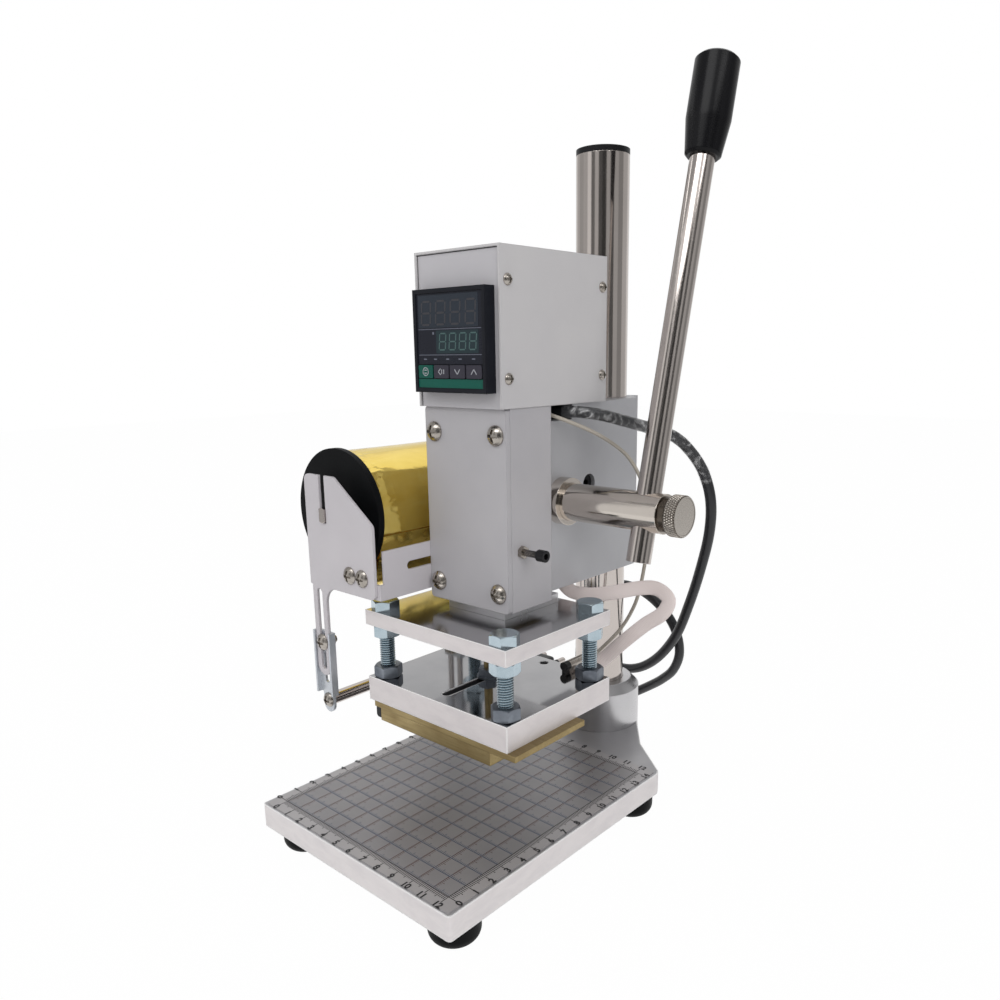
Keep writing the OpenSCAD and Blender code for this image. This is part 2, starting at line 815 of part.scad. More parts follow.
module head_block() {
    placed() color("lightgray") difference() {
        translate([0, 0, block_z]) linear_extrude(block_h) difference() {
            union() {
                translate([-block_w / 2, -block_front]) square([block_w, block_front + block_back]);
                circle(clamp_r);
                translate([-clamp_ears_w / 2, 0]) square([clamp_ears_w, clamp_ears_back]);
            }
            circle(d = column_d + 2 * run_fit);
            translate([-clamp_slit / 2, 0]) square([clamp_slit, clamp_ears_back + over]);
            translate([-rack_groove_w / 2, -block_front - over])
                square([rack_groove_w, rack_groove_y + block_front + over]);
        }
        bar_x(bush_d + 2 * run_fit, -block_w / 2 - over, block_w / 2 + over, axis_y, axis_z);
        block([-block_w / 4, -block_front - over, head_top_z - notch_h],
            [block_w / 2 + over, -block_front + notch_d, head_top_z + over]);
        bar_x(side_hole_d, block_w / 2 - side_hole_h, block_w / 2 + over, side_hole_y, side_hole_z);
        for (z = clamp_screw_zs)
            bar_x(clamp_screw_d + 2 * screw_fit, -clamp_ears_w, clamp_ears_w, clamp_screw_y, z);
        for (z = clamp_screw_zs)
            bar_x(clamp_head_d + 2 * slide_gap, -block_w, -clamp_ears_w / 2, clamp_screw_y, z);
    }
}

module clamp_screws() {
    placed() color("#202020")
        for (z = clamp_screw_zs)
            translate([-clamp_ears_w / 2, clamp_screw_y, z]) rotate([0, -90, 0])
                socket_screw(clamp_head_d, clamp_head_h, clamp_screw_d, clamp_ears_w);
    placed() color("#202020") difference() {
        bar_x(side_hole_d - 2 * run_fit, block_w / 2 - side_hole_h, block_w / 2 - side_screw_sink,
            side_hole_y, side_hole_z);
        translate([block_w / 2 - side_screw_sink - side_socket_h, side_hole_y, side_hole_z])
            rotate([0, 90, 0])
                hex_prism(side_socket_af, side_hole_h);
    }
}

module pinion_bushes() {
    bore = shaft_d + 2 * run_fit;
    placed() color("silver")
        difference() {
            union() {
                for (span = [[-block_w / 2, -bush_inner], [bush_inner, block_w / 2 + bush_out]])
                    bar_x(bush_d, span[0], span[1], axis_y, axis_z);
                bar_x(bush_flange_d, block_w / 2, block_w / 2 + bush_out, axis_y, axis_z);
            }
            bar_x(bore, -block_w, block_w, axis_y, axis_z);
        }
}

module slide_housing() {
    placed() color("whitesmoke") difference() {
        block([-housing_w / 2, cover_back, housing_z], [housing_w / 2, housing_back, head_top_z]);
        block([-pocket_w / 2, cover_back - over, housing_z - over],
            [pocket_w / 2, housing_back - housing_web, head_top_z + over]);
        block([-rack_groove_w / 2, cover_back, housing_z - over],
            [rack_groove_w / 2, housing_back + over, ram_top + 2]);
        bar_x(gib_screw_d + 2 * screw_fit, 0, housing_w, gib_y, gib_z);
        for (y = bracket_screw_ys)
            bar_x(holder_screw_d + 2 * screw_fit, -housing_w, 0, y, bracket_slot_z);
    }
}

module front_cover() {
    placed() color("whitesmoke") difference() {
        translate([0, cover_back, (housing_z + head_top_z) / 2]) rotate([90, 0, 0])
            linear_extrude(cover_t) rounded_rect(housing_w, housing_h, cover_corner_r);
        for (x = [-cover_screw_x, cover_screw_x], z = cover_screw_zs)
            bar_y(cover_screw_d + 2 * screw_fit, x, housing_front - over, cover_back + over, z);
    }
}

module cover_screws() {
    placed() color("lightgray")
        for (x = [-cover_screw_x, cover_screw_x], z = cover_screw_zs)
            translate([x, housing_front, z]) rotate([90, 0, 0])
                pan_screw(cover_screw_head_d, cover_screw_head_h, cover_screw_d, cover_t + cover_screw_l);
}

module ram_guides() {
    placed() color("goldenrod") difference() {
        for (side = [-1, 1])
            block([side > 0 ? ram_w / 2 + run_fit : -pocket_w / 2, guide_y[0], housing_z],
                [side > 0 ? pocket_w / 2 : -ram_w / 2 - run_fit, guide_y[1], head_top_z]);
        for (x = [-cover_screw_x, cover_screw_x], z = cover_screw_zs)
            bar_y(cover_screw_d + 2 * screw_fit, x, cover_back - over, cover_back + cover_screw_l + over, z);
    }
}

module gib_adjuster() {
    wall_x = housing_w / 2;
    placed() color("#202020") {
        translate([wall_x + gib_reach, gib_y, gib_z]) rotate([0, 90, 0])
            socket_screw(gib_head_d, gib_head_h, gib_screw_d, gib_reach + housing_wall);
        translate([wall_x, gib_y, gib_z]) rotate([0, 90, 0]) difference() {
            hex_prism(gib_nut_af, gib_nut_h);
            translate([0, 0, -over]) cylinder(d = gib_screw_d + 2 * run_fit, h = gib_nut_h + 2 * over);
        }
    }
}

// Control box

module control_chassis() {
    inner = box_w / 2 - sheet_t;
    placed() color("whitesmoke") difference() {
        union() {
            block([-inner, panel_front, box_z], [inner, panel_front + sheet_t, box_top - sheet_t]);
            block([-inner, box_back - sheet_t, box_z], [inner, box_back, box_top - sheet_t]);
            block([-inner, panel_front, box_z], [inner, box_back, box_z + sheet_t]);
            for (side = [-1, 1], y = [panel_front, box_back - box_tab_d])
                block([side > 0 ? inner - sheet_t : -inner, y, box_z],
                    [side > 0 ? inner : -inner + sheet_t, y + box_tab_d, box_top - sheet_t]);
        }
        translate([0, panel_front - over, bezel_z]) rotate([-90, 0, 0])
            linear_extrude(sheet_t + 2 * over) square(case_w + 0.4, center = true);
        for (y = box_screw_ys, z = box_screw_zs)
            bar_x(box_screw_d + 2 * screw_fit, -box_w, box_w, y, z);
        block([2, -block_front + 3, box_z - over],
            [inner - 4, -block_front + notch_d - 3, box_z + sheet_t + over]);
    }
}

module control_cover() {
    placed() color("white") difference() {
        block([-box_w / 2, -box_front, box_z], [box_w / 2, box_back, box_top]);
        block([-box_w / 2 + sheet_t, -box_front - over, box_z - over],
            [box_w / 2 - sheet_t, box_back + over, box_top - sheet_t]);
        for (y = box_screw_ys, z = box_screw_zs)
            bar_x(box_screw_d + 2 * screw_fit, -box_w, box_w, y, z);
    }
}

module box_screws() {
    placed() color("lightgray")
        for (side = [-1, 1], y = box_screw_ys, z = box_screw_zs)
            translate([side * box_w / 2, y, z]) rotate([0, side * 90, 0])
                pan_screw(box_screw_head_d, box_screw_head_h, box_screw_d, box_screw_l);
}

module controller_case() {
    placed() color("#1c1c1e") difference() {
        union() {
            block([-bezel_w / 2, face_front, bezel_z - bezel_w / 2],
                [bezel_w / 2, panel_front, bezel_z + bezel_w / 2]);
            block([-case_w / 2, panel_front - 0.01, bezel_z - case_w / 2],
                [case_w / 2, panel_front + sheet_t + case_d, bezel_z + case_w / 2]);
        }
        block([-face_w / 2, face_front - over, bezel_z - face_w / 2],
            [face_w / 2, window_y + face_t, bezel_z + face_w / 2]);
        for (i = [0 : 3])
            translate([key_first_x + i * key_pitch, 0, key_z])
                block([-key_w / 2 - key_gap, window_y, -key_h / 2 - key_gap],
                    [key_w / 2 + key_gap, key_pocket_y, key_h / 2 + key_gap]);
    }
}

module controller_face() {
    placed() color("#101416") difference() {
        block([-face_w / 2, window_y, bezel_z - face_w / 2],
            [face_w / 2, window_y + face_t, bezel_z + face_w / 2]);
        for (i = [0 : 3])
            translate([key_first_x + i * key_pitch, 0, key_z])
                block([-key_w / 2 - key_gap, window_y - over, -key_h / 2 - key_gap],
                    [key_w / 2 + key_gap, window_y + face_t + over, key_h / 2 + key_gap]);
    }
}

module key(i) {
    translate([key_first_x + i * key_pitch, window_y + face_t + key_back, key_z]) rotate([90, 0, 0])
        linear_extrude(key_proud + face_t + key_back) rounded_rect(key_w, key_h, 0.8);
}

module key_set() {
    placed() color("teal") key(0);
}

module key_shift() {
    placed() color("dimgray") key(1);
}

module key_down() {
    placed() color("dimgray") key(2);
}

module key_up() {
    placed() color("dimgray") key(3);
}

// Foil holder

module foil_bracket() {
    placed() color("white") difference() {
        union() {
            block([bracket_left, -bracket_front, bracket_bottom],
                [bracket_left + holder_t, bracket_rear, bracket_bottom + bracket_h]);
            for (y = [-bracket_front, bracket_rear - holder_t])
                block([bracket_left - bracket_flange, y, bracket_bottom],
                    [bracket_left + holder_t, y + holder_t, bracket_bottom + bracket_h]);
        }
        translate([bracket_left - over, 0, bracket_slot_z]) rotate([90, 0, 90])
            linear_extrude(holder_t + 2 * over) rotate(-90)
                slot_2d(holder_screw_d + 2 * screw_fit, bracket_slot_y[0], bracket_slot_y[1]);
        for (x = plate_screw_xs)
            bar_y(holder_screw_d + 2 * screw_fit, x, -bracket_front - over, bracket_rear + over,
                plate_screw_z);
        block([bracket_left - bend_relief, -bracket_front - over, bracket_bottom + bend_h],
            [bracket_left + holder_t + over, -bracket_front + bend_back, bracket_bottom + bracket_h + over]);
    }
}

// Outline through the corners, each rounded to its own radius
function corner_half(p, a, b) = acos(unit(a - p) * unit(b - p)) / 2;

// Points on the arc that rounds the corner at p between its neighbours a and b
function corner_arc(p, a, b, r) =
    let (half = corner_half(p, a, b))
    let (middle = p + unit(unit(a - p) + unit(b - p)) * r / sin(half))
    let (first = p + r / tan(half) * unit(a - p) - middle)
    let (from = atan2(first[1], first[0]))
    [for (i = [0 : corner_steps]) middle + r * [
        cos(from + (180 - 2 * half) * i / corner_steps), sin(from + (180 - 2 * half) * i / corner_steps)
    ]];

module rounded_outline(corners, radii) {
    n = len(corners);
    polygon([
        for (i = [0 : n - 1])
            each corner_arc(corners[i], corners[(i + n - 1) % n], corners[(i + 1) % n], radii[i])
    ]);
}

module foil_plate_outline() {
    right = foil_right - foil_left;
    height = foil_plate_h;
    arm_left = arm_in - arm_w / 2;
    arm_right = arm_in + arm_w / 2;
    corners = [[0, 0], [right, 0], [right, height - slope_drop], [lobe_w, height], [0, height]];
    difference() {
        union() {
            rounded_outline(corners, [arm_left / 2, plate_r, plate_r, plate_r, plate_r]);
            translate([arm_left, -arm_l + arm_w / 2]) square([arm_w, arm_l]);
            translate([arm_in, -arm_l + arm_w / 2]) circle(d = arm_w);
            difference() {
                translate([arm_right - over, -arm_fillet_r])
                    square([arm_fillet_r + over, arm_fillet_r + over]);
                translate([arm_right + arm_fillet_r, -arm_fillet_r]) circle(arm_fillet_r);
            }
        }
        translate([spindle_in - slot_w / 2, height - spindle_slot_h]) square([slot_w, spindle_slot_h + over]);
        translate([arm_in, 0])
            slot_2d(arm_slot_w, -arm_l + arm_w / 2, arm_slot_top - bracket_bottom);
        for (x = plate_screw_xs)
            translate([x - foil_left, plate_screw_z - bracket_bottom])
                circle(d = holder_screw_d + 2 * screw_fit);
    }
}

module foil_plate(y) {
    translate([foil_left, y + holder_t, bracket_bottom]) rotate([90, 0, 0])
        linear_extrude(holder_t) foil_plate_outline();
}

module foil_front_plate() {
    placed() color("white") foil_plate(front_plate_y);
}

module foil_rear_plate() {
    placed() color("white") foil_plate(rear_plate_y);
}

module bracket_screws() {
    placed() color("lightgray") {
        for (y = bracket_screw_ys)
            translate([bracket_left, y, bracket_slot_z]) rotate([0, -90, 0])
                pan_screw(holder_screw_head_d, holder_screw_head_h, holder_screw_d, holder_t + 3);
        for (x = plate_screw_xs) {
            translate([x, front_plate_y, plate_screw_z]) rotate([90, 0, 0])
                pan_screw(holder_screw_head_d, holder_screw_head_h, holder_screw_d, 2 * holder_t + 2);
            translate([x, rear_plate_y + holder_t, plate_screw_z]) rotate([-90, 0, 0])
                pan_screw(holder_screw_head_d, holder_screw_head_h, holder_screw_d, 2 * holder_t + 2);
        }
    }
}

module foil_spindle() {
    front = front_plate_y - 1;
    back = rear_plate_y + holder_t + 1;
    flat_front = -bracket_front + holder_t + slide_gap;
    flat_back = bracket_rear - holder_t - slide_gap;
    placed() color("silver") intersection() {
        bar_y(spindle_d, spindle_x, front, back, spindle_z);
        union() {
            block([spindle_x - spindle_flat / 2, front, spindle_z - spindle_d / 2],
                [spindle_x + spindle_flat / 2, back, spindle_z + spindle_d / 2]);
            block([spindle_x - spindle_d, flat_front, spindle_z - spindle_d],
                [spindle_x + spindle_d, flat_back, spindle_z + spindle_d]);
        }
    }
}

module foil_core() {
    placed() color("burlywood") difference() {
        bar_y(core_d, spindle_x, foil_y, rear_flange_y, spindle_z);
        bar_y(core_d - 2 * core_wall, spindle_x, foil_y - over, rear_flange_y + over, spindle_z);
    }
}

module foil_roll() {
    placed() color("gold") difference() {
        bar_y(foil_d, spindle_x, foil_y, rear_flange_y, spindle_z);
        bar_y(core_d + 2 * run_fit, spindle_x, foil_y - over, rear_flange_y + over, spindle_z);
    }
}

module roll_flanges() {
    hub_l = 8;
    hub_d = core_d - 2 * core_wall - 2 * run_fit;
    placed() color("#151515")
        for (part = [
            [flange_y, foil_y, foil_y + hub_l],
            [rear_flange_y + flange_t, rear_flange_y, rear_flange_y - hub_l]
        ])
            difference() {
                union() {
                    bar_y(flange_d, spindle_x, min(part[0], part[1]), max(part[0], part[1]), spindle_z);
                    bar_y(hub_d, spindle_x, min(part[0], part[2]), max(part[0], part[2]), spindle_z);
                }
                bar_y(spindle_d + 2 * run_fit, spindle_x, -bracket_front, bracket_rear, spindle_z);
            }
}

module guide_link(y, inward) {
    web = inward > 0 ? [y, y + holder_t] : [y - holder_t, y];
    flange = inward > 0 ? [web[1] - link_flange, web[1]] : [web[0], web[0] + link_flange];
    difference() {
        union() {
            block([link_x - link_w / 2, web[0], link_bottom + link_tab_h],
                [link_x + link_w / 2, web[1], link_bottom + link_h]);
            block([link_x - link_tab_w / 2, web[0], link_bottom + link_tab_w / 2],
                [link_x + link_tab_w / 2, web[1], link_bottom + link_tab_h + over]);
            bar_y(link_tab_w, link_x, web[0], web[1], link_bottom + link_tab_w / 2);
            for (side = [-1, 1])
                block(
                    [link_x + side * link_w / 2 - (side > 0 ? link_t : 0), flange[0],
                        link_bottom + link_tab_h],
                    [link_x + side * link_w / 2 + (side > 0 ? 0 : link_t), flange[1], link_bottom + link_h]);
        }
        translate([link_x, web[0] - over, 0]) mirror([0, 1, 0]) rotate([90, 0, 0])
            linear_extrude(holder_t + 2 * over) slot_2d(holder_screw_d, link_slot_z[0], link_slot_z[1]);
        for (z = [link_clamp_z, guide_z])
            bar_y(holder_screw_d + 2 * screw_fit, link_x, web[0] - over, web[1] + over, z);
    }
}

module guide_links() {
    placed() color("lightsteelblue") {
        guide_link(front_plate_y + holder_t, 1);
        guide_link(rear_plate_y, -1);
    }
}

module guide_rod() {
    front = front_plate_y + 2 * holder_t;
    back = rear_plate_y - holder_t;
    placed() color("silver") difference() {
        bar_y(guide_rod_d, link_x, front, back, guide_z);
        for (span = [[front - over, front + 6], [back - 6, back + over]])
            bar_y(holder_screw_d + 2 * run_fit, link_x, span[0], span[1], guide_z);
    }
}

module guide_screws() {
    clamp_d = arm_slot_w - 2 * slide_gap;
    nut_t = 3;
    placed() color("lightgray") {
        for (end = [[front_plate_y, 90], [rear_plate_y + holder_t, -90]])
            translate([link_x, end[0], link_clamp_z]) rotate([end[1], 0, 0]) {
                pan_screw(holder_screw_head_d, holder_screw_head_h, clamp_d, 2 * holder_t + nut_t + 2);
                translate([0, 0, -2 * holder_t - nut_t]) difference() {
                    hex_prism(7, nut_t);
                    translate([0, 0, -over]) cylinder(d = clamp_d + 2 * run_fit, h = nut_t + 2 * over);
                }
            }
        for (end = [[front_plate_y + holder_t, 90], [rear_plate_y, -90]])
            translate([link_x, end[0], guide_z]) rotate([end[1], 0, 0])
                pan_screw(holder_screw_head_d - 1, holder_screw_head_h, holder_screw_d, holder_t + 5);
    }
}

// Press

module pinion_outline() {
    half = 90 / pinion_teeth - 90 * backlash / (PI * pitch_r);
    wide = half + tan(pressure_angle) * 180 / PI - pressure_angle;
    tip_roll = tan(acos(involute_r / tip_r));
    rolls = [for (i = [0 : flank_points]) tip_roll * i / flank_points];
    radii = [for (t = rolls) involute_r * sqrt(1 + t * t)];
    turns = [for (t = rolls) wide - t * 180 / PI + atan(t)];
    polygon([
        for (k = [0 : pinion_teeth - 1])
            let (middle = 180 + k * 360 / pinion_teeth)
            each concat(
                [root_r * [cos(middle - wide), sin(middle - wide)]],
                [for (i = [0 : flank_points]) radii[i] * [cos(middle - turns[i]), sin(middle - turns[i])]],
                [for (i = [flank_points : -1 : 0])
                    radii[i] * [cos(middle + turns[i]), sin(middle + turns[i])]],
                [root_r * [cos(middle + wide), sin(middle + wide)]]
            )
    ]);
}

module pinion_shaft() {
    half_face = pinion_face / 2;
    placed() color("silver") difference() {
        union() {
            translate([-half_face, axis_y, axis_z]) rotate([90, 0, 90])
                linear_extrude(pinion_face) pinion_outline();
            bar_x(shaft_d, shaft_left, -half_face, axis_y, axis_z);
            bar_x(shaft_d, half_face, hub_end, axis_y, axis_z);
            bar_x(shaft_ring_d, shaft_left, shaft_left + shaft_ring_l, axis_y, axis_z);
        }
        translate([lever_x, axis_y, axis_z]) rotate([-lever_lean, 0, 0])
            cylinder(d = lever_d + 2 * run_fit, h = 2 * shaft_d, center = true);
        bar_x(knob_screw_d + 2 * run_fit, lever_x, hub_end + over, axis_y, axis_z);
    }
}

module clamp_knob() {
    placed() color("silver") {
        bar_x(knob_screw_d, hub_end - knob_screw_depth, knob_left + 0.01, axis_y, axis_z);
        bar_x(knob_neck_d, hub_end + slide_gap, knob_left + 0.01, axis_y, axis_z);
        bar_x(knob_d, knob_left, knob_right, axis_y, axis_z);
    }
}

module on_lever() {
    placed() translate([lever_x, axis_y, axis_z]) rotate([-lever_lean, 0, 0]) children();
}

module lever_rod() {
    on_lever() color("gainsboro") translate([0, 0, -lever_down])
        cylinder(d = lever_d, h = lever_down + lever_up);
}

module lever_grip() {
    bore_r = lever_d / 2 + run_fit;
    top = lever_up + grip_cap;
    on_lever() color("#151515") rotate_extrude()
        polygon([
            [bore_r, grip_bottom], [grip_neck_d / 2 - grip_chamfer, grip_bottom],
            [grip_neck_d / 2, grip_bottom + grip_chamfer], [grip_top_d / 2, top - grip_straight],
            [grip_top_d / 2, top - grip_chamfer], [grip_top_d / 2 - grip_chamfer, top], [0, top],
            [0, lever_up + slide_gap], [bore_r, lever_up + slide_gap]
        ]);
}

module ram_bar() {
    placed() color("silver") {
        block([-ram_w / 2, ram_front, upper_top], [ram_w / 2, ram_back, ram_top]);
        block([-ram_foot_w / 2, ram_front, upper_top],
            [ram_foot_w / 2, ram_front + ram_foot_d, upper_top + ram_foot_h]);
    }
}

module rack_outline() {
    half = tooth_step / 4 - backlash / 2;
    lean = tan(pressure_angle);
    polygon(concat(
        [[rack_back, ram_top - rack_l], [rack_root_y, ram_top - rack_l]],
        [
            for (k = [-rack_below : rack_above])
                let (middle = axis_z + (k + 0.5) * tooth_step)
                each [
                    [rack_root_y, middle - half - 1.25 * tooth_module * lean],
                    [rack_tip_y, middle - half + tooth_module * lean],
                    [rack_tip_y, middle + half - tooth_module * lean],
                    [rack_root_y, middle + half + 1.25 * tooth_module * lean]
                ]
        ],
        [[rack_root_y, ram_top], [rack_back, ram_top]]
    ));
}

module ram_rack() {
    placed() color("slategray") translate([-rack_w / 2, 0, 0]) rotate([90, 0, 90])
        linear_extrude(rack_w) rack_outline();
}

module plate(bottom, t) {
    block([-plate_w / 2, -plate_front, bottom], [plate_w / 2, plate_rear, bottom + t]);
}

module upper_plate() {
    placed() color("silver") difference() {
        plate(upper_bottom, upper_t);
        for (x = bolt_xs, y = bolt_ys)
            translate([x, y, upper_bottom - over])
                cylinder(d = bolt_d + 2 * screw_fit, h = upper_t + 2 * over);
    }
}

module heating_plate() {
    placed() color("silver") difference() {
        plate(heat_bottom, heat_t);
        for (x = bolt_xs, y = bolt_ys)
            translate([x, y, bolt_bottom - 1]) cylinder(d = bolt_d + 2 * screw_fit, h = heat_t);
        translate([0, 0, heat_bottom - over]) linear_extrude(heat_t + 2 * over)
            slot_2d(stud_slot_w, stud_y - stud_travel, stud_y);
        for (x = [-heater_x, heater_x])
            bar_y(heater_d + 2 * run_fit, x, plate_rear - heater_l - 1, plate_rear + over, heater_z);
        translate([plate_hole[0], plate_hole[1], heat_top - plate_hole_h])
            cylinder(d = plate_hole_d, h = plate_hole_h + over);
    }
}

module plate_bolts() {
    placed() color("lightsteelblue")
        for (x = bolt_xs, y = bolt_ys)
            translate([x, y, 0]) {
                translate([0, 0, upper_top]) hex_prism(hex_af, bolt_head_h);
                translate([0, 0, bolt_bottom]) cylinder(d = bolt_d, h = upper_top - bolt_bottom + 0.01);
            }
}

module plate_nuts() {
    placed() color("lightsteelblue")
        for (x = bolt_xs, y = bolt_ys, z = [heat_top, upper_bottom - nut_h])
            translate([x, y, z]) difference() {
                hex_prism(hex_af, nut_h);
                translate([0, 0, -over]) cylinder(d = bolt_d + 2 * run_fit, h = nut_h + 2 * over);
            }
}

module heater_cartridges() {
    placed() color("gray")
        for (x = [-heater_x, heater_x])
            bar_y(heater_d, x, plate_rear - heater_l, plate_rear, heater_z);
}

module probe() {
    placed() color("silver") {
        bar_y(probe_d, probe_x, probe_y, probe_end, probe_z);
        block([probe_x - probe_d / 4, probe_y, heat_top],
            [probe_x + probe_d / 4, probe_y + probe_foot_l, probe_z]);
    }
}

// Die

module die_stop() {
    placed() color("#202020")
        translate([stop_right - stop_w, carrier_rear - 5, heat_bottom]) rotate([90, 0, 0])
            linear_extrude(carrier_d - 9) difference() {
                translate([0, -stop_h]) square([stop_w, stop_h]);
                difference() {
                    translate([-over, -stop_h - over]) square([stop_w / 2 + over, stop_w / 2 + over]);
                    translate([stop_w / 2, -stop_h + stop_w / 2]) circle(stop_w / 2);
                }
            }
}

module die_carrier() {
    placed() color("#c8a24a") difference() {
        block([carrier_left, carrier_front, carrier_z], [carrier_right, carrier_rear, heat_bottom]);
        translate([0, stud_y, carrier_z - over]) cylinder(d = stud_d + 2 * run_fit, h = carrier_t + 2 * over);
    }
}

module die_block() {
    placed() color("#d4af5a")
        block([die_left, die_front, die_z], [die_left + die_w, die_front + die_d, carrier_z]);
}

module carrier_stud() {
    placed() color("#c8a24a") translate([0, stud_y, carrier_z])
        cylinder(d = stud_d, h = heat_top + stud_h - carrier_z);
}

module carrier_nut() {
    placed() color("#303030") translate([0, stud_y, heat_top]) difference() {
        union() {
            cylinder(d = stud_washer_d, h = stud_washer_t);
            translate([0, 0, stud_washer_t - 0.01]) hex_prism(stud_nut_af, stud_nut_h + 0.01);
        }
        translate([0, 0, -over])
            cylinder(d = stud_d + 2 * run_fit, h = stud_washer_t + stud_nut_h + 2 * over);
    }
}

// Leads

module tube(path, w, t, sides, first) {
    normals = sides_of(path, first);
    last = len(path) - 1;
    points = [
        for (i = [0 : last], k = [0 : sides - 1])
            let (a = 360 * (k + 0.5) / sides)
            path[i] + w / 2 * cos(a) * cross(normals[i], heading(path, i)) + t / 2 * sin(a) * normals[i]
    ];
    walls = [
        for (i = [0 : last - 1], k = [0 : sides - 1])
            let (a = i * sides + k, b = i * sides + (k + 1) % sides)
            each [[a, a + sides, b + sides], [a, b + sides, b]]
    ];
    polyhedron(points, concat(
        walls,
        [[for (k = [0 : sides - 1]) k]],
        [[for (k = [sides - 1 : -1 : 0]) last * sides + k]]
    ));
}

module cord_gland() {
    placed() color("#151515") translate(gland_start) rotate(gland_turn) rotate([0, 90, 0])
        cylinder(d1 = gland_d, d2 = gland_tip_d, h = gland_l);
}

module heater_lead() {
    placed() color("antiquewhite")
        tube(smooth(heater_points, lead_steps), heater_lead_w, heater_lead_t, lead_sides, [0, 1, 0]);
}

module probe_lead() {
    placed() color("tan")
        tube(smooth(probe_points, lead_steps), probe_lead_d, probe_lead_d, lead_sides, [0, 0, 1]);
}

module mains_cord() {
    placed() color("#181818") tube(smooth(mains_points, mains_steps), cord_d, cord_d, mains_sides, [0, 0, 1]);
}

module mains_coil() {
    placed() color("#181818") tube(coil_points, cord_d, cord_d, coil_sides, [0, 0, 1]);
}

module mains_plug() {
    body_y = plug_start[1] + plug_relief_l;
    placed() color("#181818") {
        bar_y(plug_relief_d, plug_start[0], body_y - plug_relief_l / 2, body_y + 0.01, plug_start[2]);
        translate([plug_start[0], plug_start[1], plug_start[2]]) rotate([-90, 0, 0])
            cylinder(d1 = cord_d + 1, d2 = plug_relief_d, h = plug_relief_l / 2 + 0.01);
        translate([plug_start[0], body_y, 0]) linear_extrude(plug_t)
            polygon([
                [-plug_rear_w / 2, 0], [plug_rear_w / 2, 0], [plug_w / 2, plug_l / 2], [plug_w / 2, plug_l],
                [-plug_w / 2, plug_l], [-plug_w / 2, plug_l / 2]
            ]);
        for (side = [-1, 1])
            bar_y(pin_d, plug_start[0] + side * pin_gap / 2, body_y + plug_l - 0.01, body_y + plug_l + pin_l,
                plug_start[2]);
    }
}

// Draw the chosen node, or all of them

base_plate();
base_scale();
rubber_feet();
foot_screws();
column_collar();
collar_screw();
column();
column_cap();
head_block();
clamp_screws();
pinion_bushes();
slide_housing();
front_cover();
cover_screws();
ram_guides();
gib_adjuster();
control_chassis();
control_cover();
box_screws();
controller_case();
controller_face();
key_set();
key_shift();
key_down();
key_up();
foil_bracket();
bracket_screws();
foil_front_plate();
foil_rear_plate();
foil_spindle();
cord_gland();
pinion_shaft();
clamp_knob();
lever_rod();
lever_grip();
ram_bar();
ram_rack();
upper_plate();
heating_plate();
plate_bolts();
plate_nuts();
heater_cartridges();
probe();
die_stop();
die_carrier();
die_block();
carrier_stud();
carrier_nut();
foil_core();
foil_roll();
roll_flanges();
guide_links();
guide_rod();
guide_screws();
heater_lead();
probe_lead();
mains_cord();
mains_coil();
mains_plug();
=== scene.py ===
import math
import bmesh
import bpy
from mathutils import Matrix, Vector, noise


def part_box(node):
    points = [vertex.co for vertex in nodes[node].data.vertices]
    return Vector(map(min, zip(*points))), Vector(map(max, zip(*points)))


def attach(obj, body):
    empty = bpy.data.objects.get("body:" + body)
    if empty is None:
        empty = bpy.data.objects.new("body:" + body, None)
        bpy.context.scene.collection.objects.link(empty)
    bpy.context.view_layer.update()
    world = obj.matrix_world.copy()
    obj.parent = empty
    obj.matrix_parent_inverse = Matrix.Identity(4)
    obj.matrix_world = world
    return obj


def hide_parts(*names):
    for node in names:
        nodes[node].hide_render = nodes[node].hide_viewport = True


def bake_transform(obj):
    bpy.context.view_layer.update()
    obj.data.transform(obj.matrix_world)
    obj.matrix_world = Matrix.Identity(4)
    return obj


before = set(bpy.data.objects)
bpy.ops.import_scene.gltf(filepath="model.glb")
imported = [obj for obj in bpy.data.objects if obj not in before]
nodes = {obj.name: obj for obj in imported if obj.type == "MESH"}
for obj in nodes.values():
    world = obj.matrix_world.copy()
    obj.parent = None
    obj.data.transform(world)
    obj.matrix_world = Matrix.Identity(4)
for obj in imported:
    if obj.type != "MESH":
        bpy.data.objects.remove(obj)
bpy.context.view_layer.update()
finishes = {}
mm = 0.001
columnAxis = (3.5, 85.0)  # where the column's axis stands in the part's frame, in mm
upward = (0, 0, 1)
white = (1, 1, 1, 1)


def at(x, y, z):
    return Vector(((x + columnAxis[0]) * mm, (y + columnAxis[1]) * mm, z * mm))


def tone(r, g, b):  # screen colour 0 to 255 to a linear one
    shares = [c / 255.0 for c in (r, g, b)]
    return tuple(c / 12.92 if c <= 0.04045 else ((c + 0.055) / 1.055) ** 2.4 for c in shares) + (1.0,)


# modelling helpers
def clearSelection():
    if bpy.context.object and bpy.context.object.mode != "OBJECT":
        bpy.ops.object.mode_set(mode="OBJECT")
    bpy.ops.object.select_all(action="DESELECT")


def focus(obj):
    clearSelection()
    obj.select_set(True)
    bpy.context.view_layer.objects.active = obj


def added(make, name, **options):  # runs one of Blender's add operators and names what it made
    clearSelection()
    make(**options)
    bpy.context.object.name = name
    return bpy.context.object


def meshObject(name, verts, faces, edges=()):
    mesh = bpy.data.meshes.new(name)
    mesh.from_pydata([v[:] for v in verts], edges, faces)
    obj = bpy.data.objects.new(name, mesh)
    bpy.context.scene.collection.objects.link(obj)
    return obj


def applyPlace(obj, spot=None, turn=None):
    if spot is not None:
        obj.location = spot
    if turn is not None:
        obj.rotation_euler = turn
    focus(obj)
    bpy.ops.object.transform_apply(location=True, rotation=True, scale=True)
    return obj


